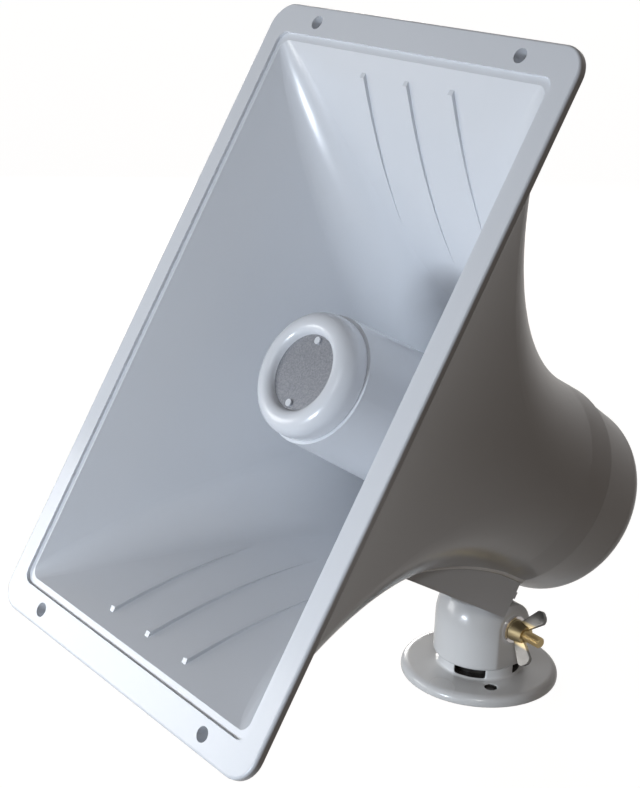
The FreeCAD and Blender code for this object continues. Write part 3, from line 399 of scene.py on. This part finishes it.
def grown_mesh(name, tree, sizes, material, source=None):
    """Run a tree on a source mesh, or on an empty one."""
    carrier = linked(name + "_carrier", source or bpy.data.meshes.new(name))
    modifier = carrier.modifiers.new("grow", "NODES")
    modifier.node_group = tree
    values = {**sizes, "Material": material}
    for item in tree.interface.items_tree:
        if item.in_out == "INPUT" and item.name in values:
            modifier[item.identifier] = values[item.name]
    return baked(carrier, name)


def finish_mesh(mesh, crease):
    """Merge doubles, turn faces outwards and keep only edges over an angle sharp."""
    work = bmesh.new()
    work.from_mesh(mesh)
    bmesh.ops.remove_doubles(work, verts=work.verts, dist=MERGE_DISTANCE)
    bmesh.ops.recalc_face_normals(work, faces=work.faces)
    for face in work.faces:
        face.smooth = True
    work.to_mesh(mesh)
    work.free()
    mesh.set_sharp_from_angle(angle=math.radians(crease))


def softened_mesh(node):
    """A copy of a frame node's mesh with its moulded edges rounded off."""
    carrier = linked(node + "_carrier", frame["nodes"][node].data.copy())
    finish_mesh(carrier.data, SMOOTH_ALL)
    cells = carrier.modifiers.new("cells", "REMESH")
    cells.mode = "VOXEL"
    ease = carrier.modifiers.new("ease", "SMOOTH")
    ease.factor = SMOOTHING_SHARE
    cells.voxel_size, ease.iterations = SOFTENING[node]
    mesh = baked(carrier, "soft_edged_" + node)
    low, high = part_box(node)
    for vertex in mesh.vertices:
        vertex.co = [min(max(value, least), most) for value, least, most in zip(vertex.co, low, high)]
    mesh.materials.clear()
    mesh.shade_smooth()
    return mesh


def add_piece(name, mesh, body, replaced):
    piece = linked(name, mesh)
    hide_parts(replaced)
    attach(piece, body)


def horn_place(across, back, up):
    """A place in the part's frame, given in the horn's own frame from the mouth's centre."""
    return MOUTH_CENTRE + Vector((across, 0, 0)) - MOUTH_AHEAD * back + MOUTH_UP * up


def bead_tree():
    """A round bead along every open line of the source."""
    tree, size = geometry_tree("Moulded Bead", BEAD_SIZES)
    line = add_node(tree, "GeometryNodeMeshToCurve")
    feed(tree, line.inputs["Mesh"], size["Geometry"])
    profile = add_node(tree, "GeometryNodeCurvePrimitiveCircle")
    feed(tree, profile.inputs["Radius"], size["Bead Radius"])
    feed(tree, profile.inputs["Resolution"], size["Bead Sides"])
    swept = add_node(tree, "GeometryNodeCurveToMesh")
    feed(tree, swept.inputs["Curve"], line.outputs["Curve"])
    feed(tree, swept.inputs["Profile Curve"], profile.outputs["Curve"])
    swept.inputs["Fill Caps"].default_value = True
    close_tree(tree, size, swept.outputs["Mesh"])
    return tree


def saddle_junctions():
    """Open lines where the saddle's two cheeks meet the bell, found by looking up from below."""
    bell = frame["nodes"]["horn_bell"].data
    surface = BVHTree.FromPolygons(
        [vertex.co for vertex in bell.vertices], [tuple(face.vertices) for face in bell.polygons],
    )
    points, edges = [], []
    for side in (-1, 1):
        line = []
        for step in range(BEAD_STEPS + 1):
            back = SADDLE_FRONT + (SADDLE_REAR - SADDLE_FRONT) * step / BEAD_STEPS
            below = horn_place(side * (SADDLE_HALF_WIDTH + BEAD_OUTSET), back, -2 * SADDLE_DROP)
            hit = surface.ray_cast(below, MOUTH_UP)[0]
            if hit is not None and (hit - MOUTH_CENTRE).dot(MOUTH_UP) > -SADDLE_DROP + BEAD_RADIUS:
                line.append(hit)
        edges += [(len(points) + index, len(points) + index + 1) for index in range(len(line) - 1)]
        points += line
    mesh = bpy.data.meshes.new("saddle_junctions")
    mesh.from_pydata(points, edges, [])
    return mesh


class HORN_OT_saddle_bead(bpy.types.Operator):
    """Run the moulded bead along the saddle where it meets the bell"""
    bl_idname = "horn.saddle_bead"
    bl_label = "Saddle bead"

    def execute(self, context):
        # Lighter colours than the shell's: a painted highlight on the bead
        gloss_with_painted_highlight = plastic("polished_bead", **BEAD)
        mesh = grown_mesh("saddle_bead", bead_tree(), BEAD_SIZES, gloss_with_painted_highlight, saddle_junctions())
        finish_mesh(mesh, BEAD_CREASE)
        piece = linked("saddle_bead", mesh)
        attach(piece, "horn")
        return {"FINISHED"}


def recessed_screw_tree():
    """A ring of domed screw heads with crossed recesses, on plain shanks."""
    tree, size = geometry_tree("Recessed Screw Ring", SCREW_SIZES)
    dome = add_node(tree, "GeometryNodeMeshUVSphere")
    dome.inputs["Segments"].default_value = DOME_SEGMENTS
    dome.inputs["Rings"].default_value = DOME_RINGS
    feed(tree, dome.inputs["Radius"], size["Dome Radius"])
    head = add_node(tree, "GeometryNodeMeshBoolean", operation="INTERSECT", solver="EXACT")
    half = math_node(tree, "MULTIPLY", size["Head Height"], -0.5)
    drop = math_node(tree, "MULTIPLY", size["Dome Radius"], -1.0)
    barrel = rod(tree, size["Head Radius"], size["Head Height"], HEAD_SIDES)
    feed(tree, head.inputs["Mesh 2"], raised(tree, barrel, half))
    feed(tree, head.inputs["Mesh 2"], raised(tree, dome.outputs["Mesh"], drop))
    cut = add_node(tree, "GeometryNodeMeshBoolean", operation="DIFFERENCE", solver="EXACT")
    feed(tree, cut.inputs["Mesh 1"], head.outputs["Mesh"])
    # The groove's box is centred on the head's top, so half of its height cuts
    depth = math_node(tree, "MULTIPLY", size["Recess Depth"], 2.0)
    for first, second in (("Recess Length", "Recess Width"), ("Recess Width", "Recess Length")):
        shape = add_node(tree, "ShaderNodeCombineXYZ")
        for axis, value in (("X", size[first]), ("Y", size[second]), ("Z", depth)):
            feed(tree, shape.inputs[axis], value)
        groove = add_node(tree, "GeometryNodeMeshCube")
        feed(tree, groove.inputs["Size"], shape.outputs[0])
        feed(tree, cut.inputs["Mesh 2"], groove.outputs["Mesh"])
    shank = rod(tree, size["Shank Radius"], size["Shank Length"], SHANK_SIDES)
    sink = math_node(tree, "MULTIPLY", size["Shank Length"], -0.5)
    low = math_node(tree, "SUBTRACT", sink, size["Head Height"])
    whole = add_node(tree, "GeometryNodeJoinGeometry")
    feed(tree, whole.inputs[0], raised(tree, shank, low))
    feed(tree, whole.inputs[0], cut.outputs["Mesh"])
    ring = add_node(tree, "GeometryNodeMeshCircle")
    feed(tree, ring.inputs["Vertices"], size["Count"])
    feed(tree, ring.inputs["Radius"], size["Circle Radius"])
    spread = add_node(tree, "GeometryNodeInstanceOnPoints")
    feed(tree, spread.inputs["Points"], ring.outputs["Mesh"])
    feed(tree, spread.inputs["Instance"], whole.outputs[0])
    close_tree(tree, size, spread.outputs[0])
    return tree


class HORN_OT_housing_screws(bpy.types.Operator):
    """Put cross-recessed screws in the rear housing's four seats"""
    bl_idname = "horn.housing_screws"
    bl_label = "Rear housing screws"

    def execute(self, context):
        steel = bpy.data.materials["bright_screw_steel"]
        mesh = grown_mesh("housing_screw_heads", recessed_screw_tree(), SCREW_SIZES, steel)
        first = Matrix.Rotation(math.radians(FIRST_SCREW_DEGREES), 4, "Z")
        turn = Matrix((MOUTH_UP.cross(-MOUTH_AHEAD), MOUTH_UP, -MOUTH_AHEAD)).transposed().to_4x4()
        seat = MOUTH_CENTRE - MOUTH_AHEAD * (HOUSING_REAR - SCREW_SEAT_SINK)
        mesh.transform(Matrix.Translation(seat) @ turn @ first)
        finish_mesh(mesh, SCREW_CREASE)
        add_piece("housing_screw_heads", mesh, "horn", "housing_screws")
        return {"FINISHED"}


def hex_radius(angle):
    return BOLT_FLATS / 2 / math.cos(angle % HEX_SECTOR - HEX_SECTOR / 2)


def thread_radius(place, angle):
    """Radius of a right-handed thread at a place along the bolt and an angle round it."""
    turn = (place / THREAD_PITCH - angle / math.tau) % 1.0
    ridge = min(1.0, max(0.0, THREAD_CREST - THREAD_FLANK * abs(2.0 * turn - 1.0)))
    start = min(1.0, (place - BOLT_THREAD_START) / THREAD_PITCH)
    radius = BOLT_RADIUS - THREAD_DEPTH * start * (1.0 - ridge)
    return min(radius, BOLT_RADIUS - BOLT_TIP_CHAMFER + (BOLT_TIP - place))


def bolt_rows():
    """Places along the bolt, each with the radius at every angle."""
    rows = [
        (BOLT_HEAD_START, lambda angle: BOLT_FACE_RADIUS),
        (BOLT_HEAD_START, lambda angle: min(hex_radius(angle), BOLT_CORNER_RADIUS)),
        (BOLT_HEAD_START + BOLT_HEAD_CHAMFER, hex_radius),
        (BOLT_HEAD_END, hex_radius),
        (BOLT_HEAD_END, lambda angle: BOLT_RADIUS),
        (BOLT_THREAD_START, lambda angle: BOLT_RADIUS),
    ]
    step = THREAD_PITCH / ROWS_A_PITCH
    for index in range(1, round((BOLT_TIP - BOLT_THREAD_START) / step) + 1):
        place = BOLT_THREAD_START + step * index
        rows.append((min(place, BOLT_TIP), lambda angle, place=place: thread_radius(place, angle)))
    return rows


class HORN_OT_clamp_bolt(bpy.types.Operator):
    """Build the hexagon bolt with its cut thread"""
    bl_idname = "horn.clamp_bolt"
    bl_label = "Threaded clamp bolt"

    def execute(self, context):
        angles = [math.tau * side / BOLT_SIDES for side in range(BOLT_SIDES)]
        work = bmesh.new()
        rings = []
        for place, radius in bolt_rows():
            rings.append([work.verts.new((
                place, radius(angle) * math.cos(angle), BOLT_HEIGHT + radius(angle) * math.sin(angle),
            )) for angle in angles])
        for first, second in zip(rings, rings[1:]):
            for side in range(BOLT_SIDES):
                after = (side + 1) % BOLT_SIDES
                work.faces.new((first[side], first[after], second[after], second[side]))
        work.faces.new(rings[0])
        work.faces.new(rings[-1])
        mesh = bpy.data.meshes.new("threaded_clamp_bolt")
        work.to_mesh(mesh)
        work.free()
        finish_mesh(mesh, BOLT_CREASE)
        mesh.materials.append(bpy.data.materials["plated_bolt"])
        add_piece("threaded_clamp_bolt", mesh, "knuckle", "clamp_bolt")
        return {"FINISHED"}


class HornFinish(bpy.types.PropertyGroup):
    shell_colour: FloatVectorProperty(
        name="Shell colour", description="Gloss white of the horn's mouldings",
        subtype="COLOR", size=3, min=0.0, max=1.0, default=(0.80, 0.825, 0.865),
    )
    shell_aged: FloatVectorProperty(
        name="Shell aged colour", description="Tone that the shell drifts to in patches",
        subtype="COLOR", size=3, min=0.0, max=1.0, default=(0.74, 0.76, 0.79),
    )
    stand_colour: FloatVectorProperty(
        name="Stand colour", description="White of the knuckle and base",
        subtype="COLOR", size=3, min=0.0, max=1.0, default=(0.82, 0.83, 0.84),
    )
    shell_roughness: FloatProperty(
        name="Shell roughness", description="Gloss of the white shell",
        min=0.05, max=1.0, default=0.27, subtype="FACTOR",
    )


class HornStage(bpy.types.PropertyGroup):
    key_power: FloatProperty(
        name="Key power", description="Power of the small low front lamp",
        default=3.8, min=0.0, unit="POWER",
    )
    side_power: FloatProperty(
        name="Side power", description="Power of the broad lamp on the left",
        default=1.1, min=0.0, unit="POWER",
    )
    mirror_level: FloatProperty(
        name="Mirror level", description="Share of white in what glossy surfaces reflect",
        default=0.55, min=0.0, max=1.0, subtype="FACTOR",
    )
    rear_power: FloatProperty(
        name="Rear power", description="Power of the broad lamp behind on the left",
        default=4.0, min=0.0, unit="POWER",
    )
    upper_power: FloatProperty(
        name="Upper fill power", description="Power of the soft lamp above the front",
        default=0.85, min=0.0, unit="POWER",
    )
    stand_power: FloatProperty(
        name="Stand lamp power", description="Power of the narrow lamp on the knuckle and base",
        default=2.0, min=0.0, unit="POWER",
    )
    floor_mirror: FloatProperty(
        name="Floor mirror level", description="Share of the floor's white in what glossy surfaces reflect",
        default=0.5, min=0.0, max=1.0, subtype="FACTOR",
    )
    world_level: FloatProperty(
        name="World level", description="Strength of the surrounding light", default=0.036, min=0.0,
    )


class HORN_OT_mouldings(bpy.types.Operator):
    """Give the horn's white mouldings their moulded gloss plastic"""
    bl_idname = "horn.mouldings"
    bl_label = "Horn mouldings"

    def execute(self, context):
        look = context.scene.horn_finish
        shell = plastic(
            "white_moulded_shell", look.shell_colour, look.shell_aged, look.shell_roughness, **SHELL,
        )
        for name in ("horn_bell", "rear_housing", "reflector", "label_pins"):
            coat_node(name, shell)
        mesh = softened_mesh("front_cap")
        mesh.materials.append(shell)
        add_piece("soft_edged_front_cap", mesh, "horn", "front_cap")
        return {"FINISHED"}


class HORN_OT_stand(bpy.types.Operator):
    """Give the knuckle and base their white plastic, with painted shade on the spindle, in the collar's
    windows and bore and in the screw holes
    """
    bl_idname = "horn.stand"
    bl_label = "Knuckle and base"

    def below_collar(self, tree, along):
        """The spindle, under the foot of the knuckle."""
        return math_node(tree, "LESS_THAN", along["Z"], SPINDLE_TOP)

    def in_recesses(self, tree, along):
        """The collar's windows and bore, and the two screw holes."""
        inside = math_node(tree, "LESS_THAN", plane_reach(tree, along["X"], along["Y"]), COLLAR_SKIN)
        above = math_node(tree, "GREATER_THAN", along["Z"], BASE_TOP)
        under = math_node(tree, "LESS_THAN", along["Z"], COLLAR_TOP)
        recess = math_node(tree, "MULTIPLY", math_node(tree, "MULTIPLY", inside, above), under)
        offset = math_node(tree, "SUBTRACT", math_node(tree, "ABSOLUTE", along["X"]), HOLE_OFFSET)
        hole = math_node(tree, "LESS_THAN", plane_reach(tree, offset, along["Y"]), HOLE_RADIUS)
        return math_node(tree, "MAXIMUM", recess, hole)

    def darken(self, material, where):
        """Blacken the stand's plastic with painted shade where a mask says, on axes through the holes."""
        tree = material.node_tree
        turned = add_node(tree, "ShaderNodeMapping")
        turned.inputs["Rotation"].default_value = (0.0, 0.0, math.radians(HOLE_TURN_DEGREES))
        feed(tree, turned.inputs["Vector"], object_place(tree))
        parts = add_node(tree, "ShaderNodeSeparateXYZ")
        feed(tree, parts.inputs[0], turned.outputs[0])
        # Painted shade: the masked hollows are blackened, not lit by the lamps
        recolour(tree, where(tree, parts.outputs), PAINTED_SHADE)

    def execute(self, context):
        stand = plastic("white_moulded_stand", context.scene.horn_finish.stand_colour, **STAND)
        # Each copy of the stand's plastic carries painted shade in its hollows
        for node, look, where, body in (
            ("swivel_knuckle", "greased_swivel", self.below_collar, "knuckle"),
            ("base_flange", "grimy_base", self.in_recesses, "base"),
        ):
            material = stand.copy()
            material.name = look
            self.darken(material, where)
            mesh = softened_mesh(node)
            mesh.materials.append(material)
            add_piece("soft_edged_" + node, mesh, body, node)
        return {"FINISHED"}


class HORN_OT_metalwork(bpy.types.Operator):
    """Finish the nut, washer, screws, driver metal and label plate"""
    bl_idname = "horn.metalwork"
    bl_label = "Metalwork"

    def brass_hub(self, material):
        """Yellow the wing nut's hub and leave its wings grey."""
        tree = material.node_tree
        place = add_node(tree, "ShaderNodeMapping")
        place.inputs["Location"].default_value = (0.0, 0.0, -BOLT_HEIGHT)
        place.inputs["Scale"].default_value = (0.0, 1.0, 1.0)
        feed(tree, place.inputs["Vector"], object_place(tree))
        reach = add_node(tree, "ShaderNodeVectorMath", operation="LENGTH")
        feed(tree, reach.inputs[0], place.outputs[0])
        hub = add_node(tree, "ShaderNodeMapRange")
        feed(tree, hub.inputs["Value"], reach.outputs["Value"])
        hub.inputs["From Min"].default_value = NUT_HUB_RADIUS + HUB_FADE_OUTSIDE
        hub.inputs["From Max"].default_value = NUT_HUB_RADIUS - HUB_FADE_INSIDE
        recolour(tree, hub.outputs["Result"], HUB_BRASS)

    def execute(self, context):
        finish = {name: metal(name, **look) for name, look in METALS.items()}
        self.brass_hub(finish["plated_wing_nut"])
        for node, name in METAL_NODES.items():
            coat_node(node, finish[name])
        return {"FINISHED"}


class HORN_OT_soft_parts(bpy.types.Operator):
    """Finish the tube, plug, rubber, film, ferrite and terminal plastic inside the horn"""
    bl_idname = "horn.soft_parts"
    bl_label = "Rubber and inner parts"

    def execute(self, context):
        finish = {name: plastic(name, **look) for name, look in INNER_PLASTICS.items()}
        for node, name in INNER_NODES.items():
            coat_node(node, finish[name])
        return {"FINISHED"}


# Camera, as solved for the photo: its place, its axes and its lens in picture pixels
CAMERA_PLACE = (0.4729, -0.4790, 0.3535)
CAMERA_RIGHT = (0.6002177, 0.7990427, 0.0356307)
CAMERA_DOWN = (0.2750818, -0.1643934, -0.9472617)
CAMERA_AHEAD = (-0.7510451, 0.5783646, -0.3184740)
FOCAL_PIXELS = 1607.66
PICTURE_WIDTH, PICTURE_HEIGHT = 640, 788
OPTIC_X, OPTIC_Y = 291.95, 397.64
SENSOR_HEIGHT_MM = 36.0
CLIP_START, CLIP_END = 0.01, 30.0

# Area lamps: place, target, width and height, the stage setting with the power, and colour
AREA_LAMPS = {
    "front_key": ((0.03, -0.93, 0.08), (0, -0.1, 0.15), (0.19, 0.15), "key_power", (0.81, 0.895, 1.0)),
    "rear_window": ((-1.0, 0.56, 0.28), (0, 0.0, 0.12), (0.4, 0.4), "rear_power", (1.0, 0.98, 0.95)),
    "upper_fill": ((0.10, -0.78, 0.62), (0, -0.15, 0.1), (0.3, 0.3), "upper_power", (0.9, 0.95, 1.0)),
    "side_window": ((-0.50, -0.60, 0.14), (0, -0.12, 0.1), (0.3, 0.22), "side_power", (1.0, 1.0, 1.0)),
}
STAND_SPOT_PLACE = (0.34, -0.30, 0.30)
STAND_SPOT_TARGET = (0.008, -0.008, -0.006)
STAND_SPOT_DEGREES = 12.5
STAND_SPOT_RADIUS = 0.05
STAND_SPOT_BLEND = 0.6

# Floor and surroundings
WORLD_COLOUR = (1.0, 0.62, 0.38, 1.0)
FLOOR_REACH = 6.0
FLOOR_COLOURS = (0.19, 0.155, 0.115, 1.0), (0.22, 0.18, 0.14, 1.0)
FLOOR_GRAIN_SCALE = 40.0
FLOOR_ROUGHNESS = 0.8
FLOOR_SPECULAR = 0.1
FLOOR_WHITE = 0.97


def hang_light(name, light, place, target):
    body = linked(name, light)
    body.location = place
    ahead = (Vector(target) - Vector(place)).normalized()
    body.rotation_euler = ahead.to_track_quat("-Z", "Y").to_euler()


def seen_share(tree, mirror):
    """All for the camera's own rays, a set share for glossy ones and nothing for the rest."""
    path = add_node(tree, "ShaderNodeLightPath")
    mirrored = math_node(tree, "MULTIPLY", path.outputs["Is Glossy Ray"], mirror)
    return math_node(tree, "MAXIMUM", path.outputs["Is Camera Ray"], mirrored)


class HORN_OT_stage(bpy.types.Operator):
    """Set the floor, lamps, world and camera"""
    bl_idname = "horn.stage"
    bl_label = "Stage"

    def lay_floor(self, look):
        """A floor that takes light but looks white to the camera."""
        mesh = bpy.data.meshes.new("studio_floor")
        corners = [(-1, -1), (1, -1), (1, 1), (-1, 1)]
        mesh.from_pydata([(x * FLOOR_REACH, y * FLOOR_REACH, 0) for x, y in corners], [], [(0, 1, 2, 3)])
        floor = linked("studio_floor", mesh)
        material = bpy.data.materials.new("pale_floor")
        material.use_nodes = True
        tree = material.node_tree
        shader = tree.nodes["Principled BSDF"]
        grain = noise_node(tree, object_place(tree), FLOOR_GRAIN_SCALE)
        feed(tree, shader.inputs["Base Color"], colour_mix(tree, grain, *FLOOR_COLOURS))
        shader.inputs["Roughness"].default_value = FLOOR_ROUGHNESS
        shader.inputs["Specular IOR Level"].default_value = FLOOR_SPECULAR
        glow = add_node(tree, "ShaderNodeEmission")
        glow.inputs["Color"].default_value = WHITE
        level = math_node(tree, "MULTIPLY", seen_share(tree, look.floor_mirror), FLOOR_WHITE)
        feed(tree, glow.inputs["Strength"], level)
        both = add_node(tree, "ShaderNodeAddShader")
        feed(tree, both.inputs[0], shader.outputs[0])
        feed(tree, both.inputs[1], glow.outputs[0])
        feed(tree, tree.nodes["Material Output"].inputs["Surface"], both.outputs[0])
        mesh.materials.append(material)

    def fill_world(self, scene, look):
        """Warm surroundings that look white to the camera."""
        world = bpy.data.worlds.new("studio_world")
        scene.world = world
        world.use_nodes = True
        tree = world.node_tree
        back = tree.nodes["Background"]
        back.inputs["Color"].default_value = WORLD_COLOUR
        back.inputs["Strength"].default_value = look.world_level
        white = add_node(tree, "ShaderNodeBackground")
        white.inputs["Color"].default_value = WHITE
        mix = add_node(tree, "ShaderNodeMixShader")
        feed(tree, mix.inputs["Fac"], seen_share(tree, look.mirror_level))
        feed(tree, mix.inputs[1], back.outputs[0])
        feed(tree, mix.inputs[2], white.outputs[0])
        feed(tree, tree.nodes["World Output"].inputs["Surface"], mix.outputs[0])

    def hang_lamps(self, look):
        for name, (place, target, size, power, colour) in AREA_LAMPS.items():
            light = bpy.data.lights.new(name, "AREA")
            light.shape = "RECTANGLE"
            light.size, light.size_y = size
            light.energy = getattr(look, power)
            light.color = colour
            hang_light(name, light, place, target)
        spot = bpy.data.lights.new("stand_spot", "SPOT")
        spot.energy = look.stand_power
        spot.shadow_soft_size = STAND_SPOT_RADIUS
        spot.spot_size = math.radians(STAND_SPOT_DEGREES)
        spot.spot_blend = STAND_SPOT_BLEND
        hang_light("stand_spot", spot, STAND_SPOT_PLACE, STAND_SPOT_TARGET)

    def set_camera(self, scene):
        lens = bpy.data.cameras.new("photo_camera")
        lens.sensor_fit = "VERTICAL"
        lens.sensor_height = SENSOR_HEIGHT_MM
        lens.lens = FOCAL_PIXELS * SENSOR_HEIGHT_MM / PICTURE_HEIGHT
        lens.shift_x = (PICTURE_WIDTH / 2 - OPTIC_X) / PICTURE_HEIGHT
        lens.shift_y = (OPTIC_Y - PICTURE_HEIGHT / 2) / PICTURE_HEIGHT
        lens.clip_start, lens.clip_end = CLIP_START, CLIP_END
        camera = linked("photo_camera", lens)
        right, down, ahead = (Vector(axis) for axis in (CAMERA_RIGHT, CAMERA_DOWN, CAMERA_AHEAD))
        turn = Matrix((right, -down, -ahead)).transposed().to_4x4()
        camera.matrix_world = Matrix.Translation(CAMERA_PLACE) @ turn
        scene.camera = camera

    def execute(self, context):
        scene = context.scene
        self.lay_floor(scene.horn_stage)
        self.fill_world(scene, scene.horn_stage)
        self.hang_lamps(scene.horn_stage)
        self.set_camera(scene)
        scene.view_settings.view_transform = "Standard"
        return {"FINISHED"}


class HORN_PT_panel(bpy.types.Panel):
    bl_label = "Address horn"
    bl_idname = "HORN_PT_panel"
    bl_space_type = "VIEW_3D"
    bl_region_type = "UI"
    bl_category = "Horn"

    def draw(self, context):
        for group in (context.scene.horn_finish, context.scene.horn_stage):
            for name in group.bl_rna.properties.keys():
                if name not in ("rna_type", "name"):
                    self.layout.prop(group, name)
        for operator in OPERATORS:
            self.layout.operator(operator.bl_idname)


OPERATORS = (
    HORN_OT_mouldings, HORN_OT_stand, HORN_OT_metalwork, HORN_OT_soft_parts,
    HORN_OT_housing_screws, HORN_OT_clamp_bolt, HORN_OT_saddle_bead, HORN_OT_stage,
)
CLASSES = (HornFinish, HornStage, *OPERATORS, HORN_PT_panel)


def register():
    for item in CLASSES:
        bpy.utils.register_class(item)
    bpy.types.Scene.horn_finish = PointerProperty(type=HornFinish)
    bpy.types.Scene.horn_stage = PointerProperty(type=HornStage)


def unregister():
    del bpy.types.Scene.horn_finish
    del bpy.types.Scene.horn_stage
    for item in reversed(CLASSES):
        bpy.utils.unregister_class(item)


def main():
    register()
    bpy.ops.horn.mouldings()
    bpy.ops.horn.stand()
    bpy.ops.horn.metalwork()
    bpy.ops.horn.soft_parts()
    bpy.ops.horn.housing_screws()
    bpy.ops.horn.clamp_bolt()
    bpy.ops.horn.saddle_bead()
    bpy.ops.horn.stage()


if __name__ == "__main__":
    main()
